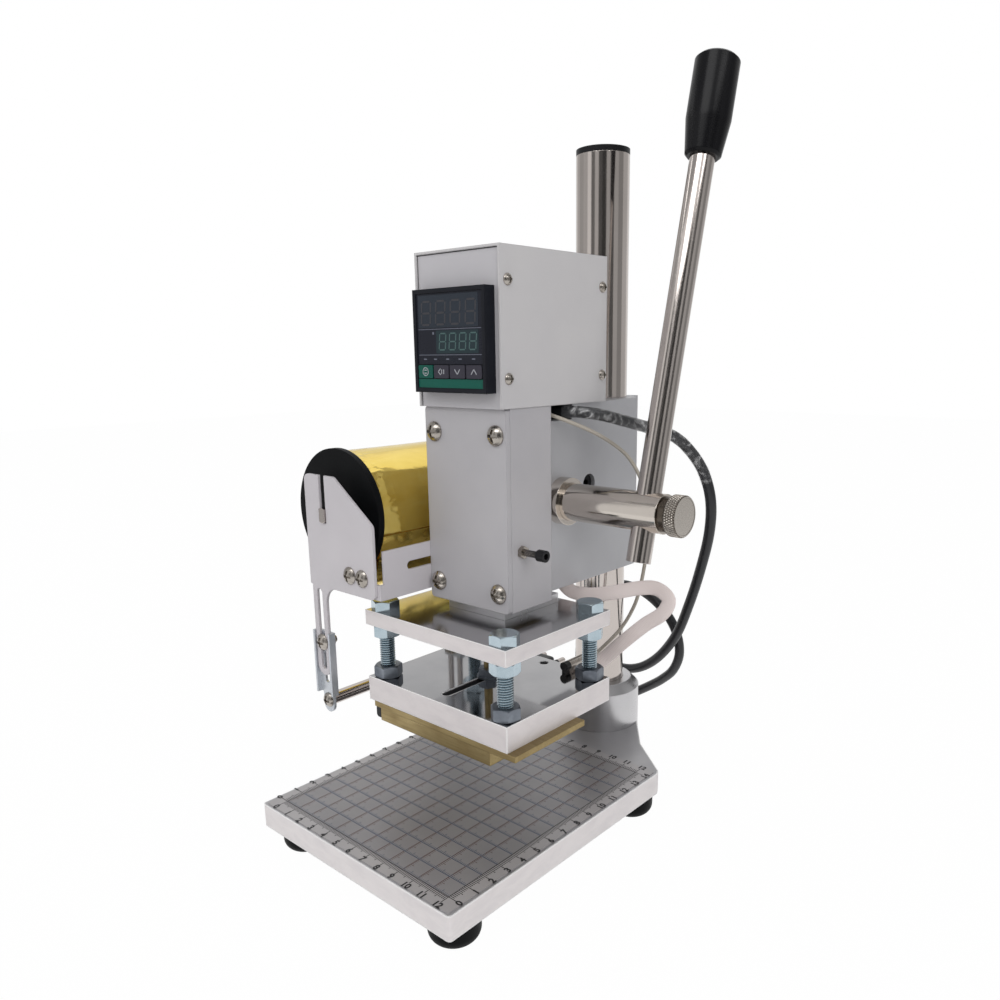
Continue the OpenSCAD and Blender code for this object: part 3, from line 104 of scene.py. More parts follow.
def placeCopy(blank, spot, turn):
    twin = blank.copy()
    twin.data = blank.data.copy()
    bpy.context.scene.collection.objects.link(twin)
    return applyPlace(twin, spot, turn)


def openEdit(obj, kind="FACE", action="SELECT"):
    focus(obj)
    bpy.ops.object.mode_set(mode="EDIT")
    bpy.ops.mesh.select_mode(type=kind)
    bpy.ops.mesh.select_all(action=action)


def pick(obj, kind, test):  # opens edit mode with only the faces or edges selected that pass the test
    openEdit(obj, kind, "DESELECT")
    shape = bmesh.from_edit_mesh(obj.data)
    for item in shape.faces if kind == "FACE" else shape.edges:
        item.select_set(test(item))
    bmesh.update_edit_mesh(obj.data)


def extrude(*way):
    bpy.ops.mesh.extrude_region_move(TRANSFORM_OT_translate={"value": way})


def turnOut():
    bpy.ops.mesh.select_all(action="SELECT")
    bpy.ops.mesh.normals_make_consistent(inside=False)


def closeEdit():
    bpy.ops.object.mode_set(mode="OBJECT")


def faceOut(obj):
    openEdit(obj)
    turnOut()
    closeEdit()


def modify(obj, kind, **values):
    m = obj.modifiers.new(kind.lower(), kind)
    for key, value in values.items():
        setattr(m, key, value)


def applyModifiers(obj):
    focus(obj)
    for m in list(obj.modifiers):
        bpy.ops.object.modifier_apply(modifier=m.name)


def cutWith(obj, tool, operation):  # the tool is used up
    modify(obj, "BOOLEAN", operation=operation, solver="EXACT", object=tool)
    applyModifiers(obj)
    bpy.data.objects.remove(tool)


def joinAll(objs, name):
    focus(objs[0])
    for o in objs[1:]:
        o.select_set(True)
    bpy.ops.object.join()
    objs[0].name = name
    return objs[0]


def shade(obj, degrees):
    focus(obj)
    bpy.ops.object.shade_smooth_by_angle(angle=math.radians(degrees))


def paint(obj, *mats):
    obj.data.materials.clear()
    for m in mats:
        obj.data.materials.append(m)


def twoTone(data, test):  # second finish on the faces whose middle passes the test
    for face in data.polygons:
        face.material_index = int(test(face.center))


def handOver(obj, finish, body=None, stands="", angle=None):  # finishes and smooths it, hides the parts it stands for, and hangs it on its body
    if finish:
        paint(obj, *[finishes[f] for f in finish.split()])
    if angle:
        shade(obj, angle)
    if stands:
        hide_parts(*stands.split())
    if body:
        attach(obj, body)


# camera
cameraSettings = {
    "place": (0.2950681, -0.3130714, 0.2496278),
    "right": (0.7537131, 0.6571173, -0.010651),
    "down": (0.1346342, -0.1702476, -0.9761605),
    "forward": (-0.6432653, 0.734311, -0.2167882),
    "lens": 30.0668, "sensor": 36.0, "shift": (-0.028738, 0.037919), "clip": (0.01, 50.0),
}


def addCamera(s):
    cam = added(bpy.ops.object.camera_add, "viewCamera", location=s["place"])
    right, down, forward = Vector(s["right"]), Vector(s["down"]), Vector(s["forward"])
    turn = Matrix((right, -down, -forward)).transposed().to_4x4()
    cam.matrix_world = Matrix.Translation(Vector(s["place"])) @ turn
    cam.data.sensor_fit = "HORIZONTAL"
    cam.data.sensor_width = s["sensor"]
    cam.data.lens = s["lens"]
    cam.data.shift_x, cam.data.shift_y = s["shift"]
    cam.data.clip_start, cam.data.clip_end = s["clip"]
    bpy.context.scene.camera = cam


addCamera(cameraSettings)
print("camera placed")


# finishes: an emptied node tree with short calls for the nodes in use here
class NodeKit:
    def __init__(self, owner, output):
        owner.use_nodes = True
        self.tree = owner.node_tree
        self.tree.nodes.clear()
        self.out = self.add(output).inputs["Surface"]

    def add(self, kind, inputs=(), **options):
        node = self.tree.nodes.new("ShaderNode" + kind)
        for key, value in options.items():
            setattr(node, key, value)
        for key, value in dict(inputs).items():
            self.feed(node.inputs[key], value)
        return node

    def feed(self, socket, value):  # links another node's socket, or sets a plain value
        if isinstance(value, bpy.types.NodeSocket):
            self.tree.links.new(value, socket)
        elif value is not None:
            socket.default_value = value

    def calc(self, kind, *values):
        return self.add("Math", enumerate(values), operation=kind).outputs[0]

    def times(self, a, b):
        return self.calc("MULTIPLY", a, b)

    def plus(self, a, b):
        return self.calc("ADD", a, b)

    def less(self, a, b):
        return self.calc("SUBTRACT", a, b)

    def most(self, a, b):
        return self.calc("MAXIMUM", a, b)

    def rest(self, a):
        return self.less(1.0, a)

    def between(self, value, low, high):
        return self.times(self.calc("GREATER_THAN", value, low), self.calc("LESS_THAN", value, high))

    def radius(self, a, b):
        return self.calc("SQRT", self.plus(self.times(a, a), self.times(b, b)))


# a material under way, with its shader and coordinates
class Finish(NodeKit):
    def __init__(self, name):
        finishes[name] = bpy.data.materials.new(name)
        super().__init__(finishes[name], "OutputMaterial")
        self.shader = self.add("BsdfPrincipled")
        self.feed(self.out, self.shader.outputs["BSDF"])
        coords = self.add("TexCoord").outputs
        self.obj, self.normal = coords["Object"], coords["Normal"]

    def mapped(self, scale, shift=(0, 0, 0), turn=(0, 0, 0)):
        inputs = {"Vector": self.obj, "Scale": scale, "Location": shift, "Rotation": turn}
        return self.add("Mapping", inputs).outputs["Vector"]

    def grain(self, source, scale, detail=3.0, rough=0.55, distort=0.0):
        inputs = {"Vector": source, "Scale": scale, "Detail": detail, "Roughness": rough,
                  "Distortion": distort}
        return self.add("TexNoise", inputs).outputs["Fac"]

    def spread(self, source, low, high, fromLow=0.3, fromHigh=0.7):
        inputs = {"Value": source, "From Min": fromLow, "From Max": fromHigh, "To Min": low, "To Max": high}
        return self.add("MapRange", inputs).outputs["Result"]

    def mix(self, factor, a, b):
        node = self.add("Mix", data_type="RGBA")
        colours = [i for i in node.inputs if i.type == "RGBA"]
        factorIn = [i for i in node.inputs if i.name == "Factor" and i.type == "VALUE"][0]
        for socket, value in ((factorIn, factor), (colours[0], a), (colours[1], b)):
            self.feed(socket, value)
        return [o for o in node.outputs if o.type == "RGBA"][0]

    def patchy(self, patch, a, b):  # two colours that run into each other
        return self.mix(self.spread(patch, 0.0, 1.0), a, b)

    def split(self, source):
        return self.add("SeparateXYZ", {0: source}).outputs[:]

    def relief(self, height, depth, strength, under=None):  # depth in mm
        inputs = {"Height": height, "Distance": depth * mm, "Strength": strength, "Normal": under}
        return self.add("Bump", inputs).outputs["Normal"]

    def softEdge(self, radius):  # radius in mm
        return self.add("Bevel", {"Radius": radius * mm}, samples=6).outputs["Normal"]

    def end(self, colour, rough, normal, metal=None, ior=None):
        values = {"Base Color": colour, "Roughness": rough, "Normal": normal, "Metallic": metal, "IOR": ior}
        for key, value in values.items():
            self.feed(self.shader.inputs[key], value)


finishColumns = ("colour", "second", "metal", "ior", "grain", "patch", "rough", "depth", "strength", "edge",
                 "stretch", "tint")  # depth and edge in mm
finishRows = {
    "boxPaint": ((193, 191, 192), (188, 186, 188), 0, 1.48, 900, 25, (0.38, 0.5), 0.03, 0.25, 0.9),
    "housingPaint": ((176, 174, 177), (169, 167, 171), 0, 1.48, 1100, 25, (0.36, 0.5), 0.03, 0.25, 0.8),
    "bracketPaint": ((196, 192, 196), (190, 186, 190), 0, 1.48, 1300, 30, (0.34, 0.48), 0.03, 0.25, 0.6),
    "blockAluminium": ((190, 190, 193), (180, 180, 184), 0.6, 1.48, 700, 18, (0.36, 0.5), 0.01, 0.3, 0.6,
                       (1, 1, 6)),
    "turnedAluminium": ((206, 205, 206), (194, 193, 195), 1, 1.48, 420, 20, (0.24, 0.36), 0.01, 0.25, 0.8,
                        (0.4, 0.4, 5)),
    "nickel": ((204, 196, 191), (192, 184, 179), 1, 1.48, 300, 14, (0.08, 0.15), 0.004, 0.25, 0.4,
               (4, 4, 0.25)),
    "hubNickel": ((206, 199, 191), (200, 192, 184), 1, 1.48, 420, 40, (0.09, 0.17), 0.004, 0.1, 0.5,
                  (6, 0.6, 0.6)),
    "screwNickel": ((184, 178, 171), (160, 153, 145), 1, 1.48, 900, 120, (0.16, 0.34), 0.008, 0.35, 0.25),
    "zincBlue": ((188, 202, 210), (172, 188, 197), 1, 1.48, 700, 90, (0.14, 0.26), 0.006, 0.2, 0.35),
    "zincDark": ((132, 138, 146), (106, 111, 120), 1, 1.48, 800, 120, (0.28, 0.5), 0.02, 0.5, 0.3),
    "linkZinc": ((204, 208, 213), (190, 195, 202), 0.6, 1.48, 700, 70, (0.26, 0.42), 0.01, 0.3, 0.4),
    "groundSteel": ((208, 208, 210), (200, 200, 203), 0.85, 1.48, 300, 18, (0.26, 0.35), 0.004, 0.12, 0.4,
                    (1, 1, 0.15)),
    "blackOxide": ((34, 34, 37), (24, 24, 27), 0.6, 1.48, 900, 100, (0.3, 0.48), 0.01, 0.4, 0.3),
    "milledBrass": ((174, 156, 113), (146, 127, 88), 1, 1.48, 300, 45, (0.26, 0.46), 0.01, 0.35, 0.4,
                    (0.25, 4, 4), (112, 95, 60)),
    "footRubber": ((15, 16, 17), (11, 12, 13), 0, 1.18, 1100, 60, (0.42, 0.6), 0.03, 0.4, 0.8),
    "gripPlastic": ((15, 15, 18), (11, 11, 14), 0, 1.25, 1400, 60, (0.2, 0.3), 0.02, 0.2, 0.6),
    "capPlastic": ((22, 22, 25), (16, 16, 19), 0, 1.3, 1200, 60, (0.34, 0.46), 0.02, 0.25, 0.5),
    "casePlastic": ((25, 27, 34), (20, 22, 29), 0, 1.25, 1800, 60, (0.36, 0.48), 0.02, 0.35, 0.7),
    "facePlate": ((35, 37, 46), (31, 33, 42), 0, 1.25, 1500, 60, (0.24, 0.32), 0.01, 0.15, 0.2),
    "flangePlastic": ((13, 15, 17), (10, 11, 13), 0, 1.18, 900, 40, (0.4, 0.55), 0.02, 0.35, 0.7),
    "coreCard": ((196, 168, 128), (180, 150, 112), 0, 1.48, 500, 60, (0.7, 0.85), 0.05, 0.5, 0.3),
    "plugPlastic": ((30, 30, 33), (23, 23, 26), 0, 1.48, 1000, 50, (0.36, 0.5), 0.03, 0.3, 0.9),
    # prints on the controller and the table
    "windowGrey": ((45, 51, 60), (42, 48, 57), 0, 1.3, 1200, 30, (0.16, 0.24), 0.004, 0.1, 0),
    "windowTeal": ((39, 53, 58), (36, 50, 55), 0, 1.3, 1200, 30, (0.16, 0.24), 0.004, 0.1, 0),
    "panelPrint": ((104, 108, 122), (96, 100, 114), 0, 1.48, 1500, 30, (0.4, 0.5), 0.004, 0.1, 0),
    "stripGreen": ((12, 88, 75), (10, 80, 68), 0, 1.3, 1500, 30, (0.26, 0.36), 0.004, 0.1, 0),
    "ghostDigit": ((60, 60, 65), (57, 57, 62), 0, 1.3, 1500, 30, (0.3, 0.4), 0.004, 0.1, 0),
    "tealDigit": ((74, 100, 99), (69, 94, 93), 0, 1.3, 1500, 30, (0.3, 0.4), 0.004, 0.1, 0),
    "keySign": ((168, 170, 176), (158, 160, 166), 0, 1.48, 1500, 30, (0.4, 0.5), 0.004, 0.1, 0),
    "tableInk": ((24, 24, 27), (32, 32, 35), 0, 1.48, 1500, 30, (0.4, 0.52), 0.004, 0.1, 0),
}
finishSettings = {name: dict(zip(finishColumns, row)) for name, row in finishRows.items()}


def plainFinish(name, s):
    f = Finish(name)
    patch = f.grain(f.obj, s["patch"])
    fine = f.grain(f.mapped(s.get("stretch", (1, 1, 1))), s["grain"], 4.0, 0.6)
    colour = f.patchy(patch, tone(*s["colour"]), tone(*s["second"]))
    if "tint" in s:
        colour = f.mix(f.spread(fine, 0.0, 0.35), colour, tone(*s["tint"]))
    mixed = f.calc("MULTIPLY_ADD", patch, 0.4, f.times(fine, 0.6))
    under = f.softEdge(s["edge"]) if s["edge"] else None
    f.end(colour, f.spread(mixed, *s["rough"], 0.35, 0.65), f.relief(fine, s["depth"], s["strength"], under),
          s["metal"], s["ior"])


def darkFinish(name, like, dark, mask, **changes):  # turns dark where the mask says
    f = Finish(name)
    s = dict(finishSettings[like], **changes)
    deep, metal = mask(f)
    fine = f.grain(f.obj, s["grain"], 4.0)
    colour = f.patchy(f.grain(f.obj, s["patch"]), tone(*s["colour"]), tone(*s["second"]))
    f.end(f.mix(deep, colour, tone(*dark)), f.spread(fine, *s["rough"]),
          f.relief(fine, s["depth"], s["strength"]), metal)


for name, settings in finishSettings.items():
    plainFinish(name, settings)
print("plain finishes made:", len(finishes))

# sawn plates: the faces that look up have one polish, the sides another; the edges get a painted highlight and
# the walls of any openings painted shade
plateShared = {  # holds for a plate that doesn't say otherwise
    "topMetal": 1.0, "side": (tone(218, 212, 212), tone(208, 202, 203)), "sideMetal": 0.2,
    # the rim values set a painted highlight along the plate's edges
    "sideRough": (0.34, 0.5), "rim": 1.0, "rimTone": tone(253, 252, 252), "rimTurn": (0.94, 0.995),
    # wall: painted shade on the walls of the plate's openings
    "hollow": True, "inside": ((-49.5, -138.5), (49.5, -59.5)), "wall": tone(62, 61, 64),
}
plateSettings = {
    "plateAluminium": {"top": (tone(206, 205, 206), tone(192, 192, 194)), "topRough": (0.1, 0.18), "edge": 0.8,
                       "rim": 0.9},
    "heatAluminium": {"top": (tone(176, 175, 176), tone(160, 160, 162)), "topRough": (0.04, 0.1), "edge": 1.0},
    "baseAluminium": {"top": (tone(186, 185, 187), tone(176, 175, 178)), "topRough": (0.3, 0.42), "edge": 1.3,
                      "topMetal": 0.7, "side": (tone(222, 217, 217), tone(213, 208, 209)), "hollow": False},
}


def plateFinish(name, s):
    f = Finish(name)
    up = f.spread(f.calc("ABSOLUTE", f.split(f.normal)[2]), 0.0, 1.0, 0.75, 0.9)
    patch = f.grain(f.obj, 26.0)
    smudge = f.grain(f.mapped((0.6, 0.6, 1.5)), 95.0, 4.0, 0.62, 0.4)
    fine = f.grain(f.mapped((0.3, 0.3, 4)), 520.0)
    side = f.mix(f.spread(smudge, 0.0, 1.0, 0.42, 0.7), *s["side"])
    if s["hollow"]:  # painted shade on the walls of the plate's openings
        x, y, z = f.split(f.obj)
        low, high = (at(*corner, 0) for corner in s["inside"])
        side = f.mix(f.times(f.between(x, low.x, high.x), f.between(y, low.y, high.y)), side, s["wall"])
    bevelled = f.softEdge(s["edge"])
    turn = f.add("VectorMath", {0: bevelled, 1: f.normal}, operation="DOT_PRODUCT").outputs["Value"]
    # painted highlight: a near-white band along the edges, where the bevelled normal turns from the face's own
    rim = f.spread(turn, s["rim"], 0.0, *s["rimTurn"])
    colour = f.mix(rim, f.mix(up, side, f.patchy(patch, *s["top"])), s["rimTone"])
    metal = f.times(f.spread(up, s["sideMetal"], s["topMetal"], 0.0, 1.0), f.rest(rim))
    sideRough = f.spread(fine, *s["sideRough"])
    rough = f.calc("MULTIPLY_ADD", up, f.less(f.spread(patch, *s["topRough"]), sideRough), sideRough)
    rough = f.times(rough, f.rest(f.times(rim, 0.5)))
    f.end(colour, rough, f.relief(f.times(fine, f.rest(up)), 0.01, 0.2, bevelled), metal)


for name, settings in plateSettings.items():
    plateFinish(name, dict(plateShared, **settings))

# printed table sheet: 10 mm grid with fine ticks along its lines and rulers round it
sheetSettings = {
    "corner": (-60.5, -187.0), "size": (120.0, 140.0), "step": 10.0, "line": 0.38,
    "ground": (tone(154, 152, 153), tone(146, 144, 146)), "margin": tone(182, 179, 180),
    "across": tone(92, 62, 62), "along": tone(64, 80, 106), "ruler": tone(26, 26, 30), "metal": 0.5,
    "rulerTicks": [(1.0, 0.2, 2.6), (5.0, 0.2, 3.5), (10.0, 0.22, 4.6)],  # step, half width, length
    "gridTicks": [(1.0, 0.13, 1.3), (5.0, 0.15, 2.3)],
}


def printedSheet(s):
    f = Finish("printedSheet")
    start = at(*s["corner"], 0)
    x, y, z = f.split(f.mapped((1000, 1000, 1000), (-start.x / mm, -start.y / mm, 0)))

    def lines(value, step, half):
        return f.calc("LESS_THAN", f.calc("PINGPONG", value, step / 2), half)

    w, d = s["size"]
    edge = s["line"] / 2
    across, along = f.between(x, -edge, w + edge), f.between(y, -edge, d + edge)
    inside = f.times(across, along)
    ruler = f.times(inside, f.rest(f.times(f.between(x, edge, w - edge), f.between(y, edge, d - edge))))
    colour = f.mix(inside, s["margin"], f.patchy(f.grain(f.obj, 40.0), *s["ground"]))
    for a, b, reachA, sizeB, ink in ((x, y, across, d, s["across"]), (y, x, along, w, s["along"])):
        line = lines(a, s["step"], edge)
        for step, half, reach in s["gridTicks"]:
            near = f.calc("LESS_THAN", f.calc("MODULO", a, s["step"]), reach)
            line = f.most(line, f.times(lines(b, step, half), near))
        colour = f.mix(f.times(line, inside), colour, ink)
        for step, half, reach in s["rulerTicks"]:
            beside = f.most(f.between(b, -reach, 0.0), f.between(b, sizeB, sizeB + reach))
            ruler = f.most(ruler, f.times(f.times(lines(a, step, half), reachA), beside))
    fine = f.grain(f.obj, 900.0)
    f.end(f.mix(ruler, colour, s["ruler"]), f.spread(fine, 0.3, 0.42), f.relief(fine, 0.01, 0.2), s["metal"])


printedSheet(sheetSettings)

# gold foil: bright, with long creases round the roll
foilSettings = {
    "gold": tone(250, 224, 126), "deep": tone(238, 206, 100), "rough": (0.08, 0.18), "metal": 0.88,
    "crease": 1.4, "ridge": 0.22, "crumple": 0.25, "depth": 0.6, "strength": 0.55,
}


def goldFoil(s):
    f = Finish("goldFoil")
    creased = f.mapped((1.0, 0.35, 1.0), turn=(0.0, 0.35, 0.2))
    crease = f.grain(creased, 55.0, 4.0, 0.6, 1.2)
    crumple = f.grain(f.mapped((1.0, 0.25, 1.0)), 260.0, 2.0, 0.5, 0.6)
    cells = f.add("TexVoronoi", {"Vector": creased, "Scale": 42.0}, feature="DISTANCE_TO_EDGE")
    ridge = f.spread(cells.outputs["Distance"], 1.0, 0.0, 0.0, 0.09)
    height = f.plus(f.times(crease, s["crease"]), f.times(ridge, s["ridge"]))
    height = f.plus(height, f.times(crumple, s["crumple"]))
    f.end(f.patchy(crease, s["gold"], s["deep"]), f.spread(crumple, *s["rough"]),
          f.relief(height, s["depth"], s["strength"]), s["metal"])


goldFoil(foilSettings)

# cords: patterns follow the tube's own map, U round it and V along it in metres
sheathSettings = {
    "mainsSheath": {"colours": (tone(29, 30, 34), tone(22, 23, 27)), "rough": (0.3, 0.42), "depth": 0.02},
    "probeSheath": {"colours": (tone(190, 183, 172), tone(176, 168, 157)), "rough": (0.36, 0.5),
                    "depth": 0.12, "weave": (6.0, 900.0), "gap": tone(128, 121, 110)},
    "fibreSleeve": {"colours": (tone(240, 230, 228), tone(233, 221, 219)), "rough": (0.72, 0.86),
                    "depth": 0.12, "weave": (14.0, 1100.0), "gap": tone(206, 191, 185)},
}


def sheath(name, s):
    f = Finish(name)
    height = fine = f.grain(f.obj, 1300.0)
    colour = f.patchy(f.grain(f.obj, 45.0), *s["colours"])
    if "weave" in s:
        u, v, w = f.split(f.add("UVMap", uv_map="along").outputs["UV"])
        u, v = f.times(u, s["weave"][0]), f.times(v, s["weave"][1])
        strands = f.most(f.calc("PINGPONG", f.plus(u, v), 0.5), f.calc("PINGPONG", f.less(u, v), 0.5))
        colour = f.mix(f.spread(strands, 0.0, 1.0, 0.0, 0.5), s["gap"], colour)
        height = f.plus(strands, f.times(fine, 0.3))
    f.end(colour, f.spread(fine, *s["rough"]), f.relief(height, s["depth"], 0.6))


for name, settings in sheathSettings.items():
    sheath(name, settings)


def clearFilm():
    f = Finish("clearFilm")
    fold = f.grain(f.obj, 160.0, 3.0, 0.6, 1.5)
    f.end((0.95, 0.95, 0.96, 1.0), f.spread(fold, 0.1, 0.3), f.relief(fold, 0.8, 0.9))
    # painted highlight: the film turns white where it folds, standing in for glints
    f.feed(f.shader.inputs["Alpha"], f.spread(fold, 0.03, 0.34, 0.5, 0.68))


clearFilm()
print("patterned finishes made")


# leads: routes in mm about the column's axis, the same points as the solids follow
def curveThrough(points, steps):
    pts = [Vector(p) for p in points]
    out = []
    for i in range(len(pts) - 1):
        a, b = pts[max(i - 1, 0)], pts[i]
        c, d = pts[i + 1], pts[min(i + 2, len(pts) - 1)]
        for k in range(steps):
            t = k / steps
            out.append(0.5 * (2 * b + t * (c - a) + t * t * (2 * a - 5 * b + 4 * c - d)
                              + t ** 3 * (3 * b - a - 3 * c + d)))
    out.append(pts[-1])
    return out


def sweep(name, path, size, sides, first, swell=None):  # width and thickness in mm
    width, thick = (c * mm for c in size)
    verts, faces, uvs, runs = [], [], [], []
    normal = Vector(first)
    run = 0.0
    last = len(path) - 1
    for i, p in enumerate(path):
        way = (path[min(i + 1, last)] - path[max(i - 1, 0)]).normalized()
        normal = (normal - normal.dot(way) * way).normalized()
        side = normal.cross(way)
        if i:
            run += (p - path[i - 1]).length
        runs.append(run)
        grow = swell(run) if swell else 1.0
        for k in range(sides):
            a = 2 * math.pi * (k + 0.5) / sides
            across, over = width / 2 * grow * math.cos(a), thick / 2 * grow * math.sin(a)
            verts.append(p + side * across + normal * over)
    for i in range(last):
        for k in range(sides):
            a, b = i * sides + k, i * sides + (k + 1) % sides
            faces.append((a, b, b + sides, a + sides))
            u0, u1 = k / sides, (k + 1) / sides
            uvs.extend([(u0, runs[i]), (u1, runs[i]), (u1, runs[i + 1]), (u0, runs[i + 1])])
    faces.append(tuple(range(sides - 1, -1, -1)))
    faces.append(tuple(last * sides + k for k in range(sides)))
    uvs.extend([(k / sides, 0.0) for k in range(sides)] + [(k / sides, run) for k in range(sides)])
    tube = meshObject(name, verts, faces)
    layer = tube.data.uv_layers.new(name="along")
    for i, uv in enumerate(uvs):
        layer.data[i].uv = uv
    faceOut(tube)
    shade(tube, 50)
    return tube


mainsSettings = {
    "diameter": 6.0, "sides": 20, "steps": 6,
    "glandStart": (0.0, -72.4, 220.0), "glandTurn": 23.0, "glandLength": 24.0,
    "route": [
        (37.2, -55.5, 219), (42.3, -50, 217.3), (45.6, -43.3, 215.2), (49, -33, 212.3), (52.2, -23.6, 209.6),
        (56, -9.5, 204.6), (60.5, 0, 196), (65.5, 6, 184), (68, 10, 168), (65.5, 14, 149), (58, 19, 126),
        (48, 25, 102), (36, 31, 78), (20, 35.5, 58), (2, 39, 45.5), (-17, 42, 42), (-34, 44.5, 50),
        (-42, 46, 68), (-36.5, 46.5, 87), (-20, 45.5, 97.5), (-1, 44, 98), (16, 42.5, 91), (27.5, 43, 78),
        (30.5, 45, 62), (24.5, 48.5, 47.5), (13.5, 52.5, 36.5), (1.5, 55.5, 27.5), (-11.5, 56, 18.8),
        (-24, 52.5, 11), (-33, 45.5, 6), (-38, 36.5, 3.6),
    ],
    "coilMiddle": (-76.5, 14.0), "coilRadius": 37.0, "coilPitch": 6.6, "coilLayer": 6.6, "coilTurns": 2.0,
    "coilDip": 1.8, "coilSteps": 48,
    "film": {"length": 0.105, "width": 6.7, "sides": 24, "swell": 0.05, "crumple": 0.35, "seed": 3},
    "tie": {"turn": 205, "width": 4.0, "thick": 0.5, "sides": 8},
    "tieRing": [  # distance from the coil's middle, height
        (40.6, 2.0), (40.6, 10.4), (38.6, 13.0), (20.6, 13.0), (18.6, 10.4), (18.6, 2.0), (20.6, 0.2),
        (38.6, 0.2), (40.6, 2.0),
    ],
}


def coilPoint(s, t, total):
    climb = min(1.0, max(0.0, 2 * (t - s["coilTurns"])))
    radius = s["coilRadius"] - s["coilPitch"] * (t if t < s["coilTurns"] else min(s["coilTurns"], total - t))
    radius -= s["coilDip"] * math.sin(math.pi * climb)
    a = 2 * math.pi * t
    return Vector((s["coilMiddle"][0] + radius * math.cos(a), s["coilMiddle"][1] - radius * math.sin(a),
                   s["diameter"] / 2 + s["coilLayer"] * climb))


def mainsPath(s):
    d, turn = s["diameter"], math.radians(s["glandTurn"])
    way = Vector((math.cos(turn), math.sin(turn), 0))
    exitPoint = Vector(s["glandStart"]) + s["glandLength"] * way
    total = 2 * s["coilTurns"] + 0.5
    points = [exitPoint + k * d * way for k in (0.0, 2 / 3, 4 / 3)] + s["route"]
    points += [coilPoint(s, 0, total) + Vector((0, k * d, 0)) for k in (2, 1.5, 1)]
    steps = int(s["coilSteps"] * total)
    path = curveThrough(points, s["steps"])
    path += [coilPoint(s, total * i / steps, total) for i in range(steps + 1)]
    path.append(coilPoint(s, total, total) + Vector((0, d, 0)))
    return path


plugSettings = {
    "rear": 14.0, "width": 32.0, "length": 34.0, "rounding": 2.6, "reliefLength": 22.0, "reliefWidth": 11.0,
    "cone": 11.0, "rib": 3.2, "pinGap": 19.0, "pinWidth": 4.8, "pinLength": 19.0, "sleeve": 10.0, "tip": 2.0,
}


def makePlug(s, start):  # a flat moulded plug at the cord's end, with a ribbed neck and two round pins
    x, y, z = start
    bodyRear = y + s["reliefLength"]
    bodyFront = bodyRear + s["length"]
    half, rear, length = s["width"] / 2, s["rear"] / 2, s["length"]
    outline = [(-rear, 0), (rear, 0), (half, length / 2), (half, length), (-half, length),
               (-half, length / 2)]
    body = meshObject("plugBody", [at(x + a, bodyRear + b, 0) for a, b in outline], [tuple(range(6))])
    openEdit(body)
    extrude(0, 0, 2 * z * mm)
    turnOut()
    bpy.ops.mesh.select_mode(type="EDGE")
    bpy.ops.mesh.select_all(action="SELECT")
    bpy.ops.mesh.bevel(offset=s["rounding"] * mm, segments=5, affect="EDGES")
    closeEdit()
    shade(body, 40)

    def neckGrow(run):
        rib = 0.5 + 0.5 * math.cos(2 * math.pi * run / mm / s["rib"])
        return (0.64 + 0.36 * min(1.0, run / mm / s["cone"])) * (1.0 - 0.1 * rib)

    def pinGrow(run):
        past = max(0.0, run / mm - (s["pinLength"] - s["sleeve"] - s["tip"])) / s["tip"]
        return math.sqrt(max(0.12, 1.0 - 0.9 * past * past))

    def rod(name, across, low, high, count, width, sides, swell=None):
        path = [at(x + across, low + (high - low) * i / count, z) for i in range(count + 1)]
        return sweep(name, path, (width, width), sides, upward, swell)

    parts = [body, rod("plugNeck", 0, y, bodyRear + 2, 72, s["reliefWidth"], 32, neckGrow)]
    pins = []
    sleeveEnd, pinEnd = bodyFront + s["sleeve"], bodyFront + s["pinLength"]
    for across in (-s["pinGap"] / 2, s["pinGap"] / 2):
        parts.append(rod("pinSleeve", across, bodyFront - 2, sleeveEnd, 4, s["pinWidth"], 28))
        pins.append(rod("pin", across, sleeveEnd, pinEnd, 40, s["pinWidth"] * 0.96, 28, pinGrow))
    for piece in parts + pins:
        paint(piece, finishes["nickel" if piece in pins else "plugPlastic"])
    plug = joinAll(parts + pins, "mainsPlug")
    handOver(plug, "", "base", "mains_plug")
    return plug


def makeMains(s):
    points = mainsPath(s)
    path = [at(*p) for p in points]
    d, wrap, band = s["diameter"], s["film"], s["tie"]
    plug = makePlug(plugSettings, points[-1])
    cordTube = sweep("mainsCord", path, (d, d), s["sides"], upward)
    handOver(cordTube, "mainsSheath", stands="mains_cord mains_coil")
    # clear film wrapped round the first stretch
    part, run = [path[0]], 0.0
    for a, b in zip(path, path[1:]):
        run += (b - a).length
        if run > wrap["length"]:
            break
        part.append(b)
    film = sweep("cordFilm", part, (wrap["width"], wrap["width"]), wrap["sides"], upward,
                 lambda r: 1.0 + wrap["swell"] * noise.noise(Vector((r * 260.0, 3.1, 0.4))))
    noise.seed_set(wrap["seed"])
    for v in film.data.vertices:
        v.co += wrap["crumple"] * mm * noise.noise_vector(v.co * 420.0)
    handOver(film, "clearFilm")
    # a flat tie holds the coil
    a = math.radians(band["turn"])
    outward = Vector((math.cos(a), math.sin(a), 0))
    ring = [Vector((*s["coilMiddle"], 0)) + outward * r + Vector((0, 0, z)) for r, z in s["tieRing"]]
    ring = [at(*p) for p in curveThrough(ring, 4)]
    tie = sweep("coilTie", ring, (band["width"], band["thick"]), band["sides"], outward)
    handOver(tie, "capPlastic", "base")
    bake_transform(cordTube)
    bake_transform(film)


makeMains(mainsSettings)

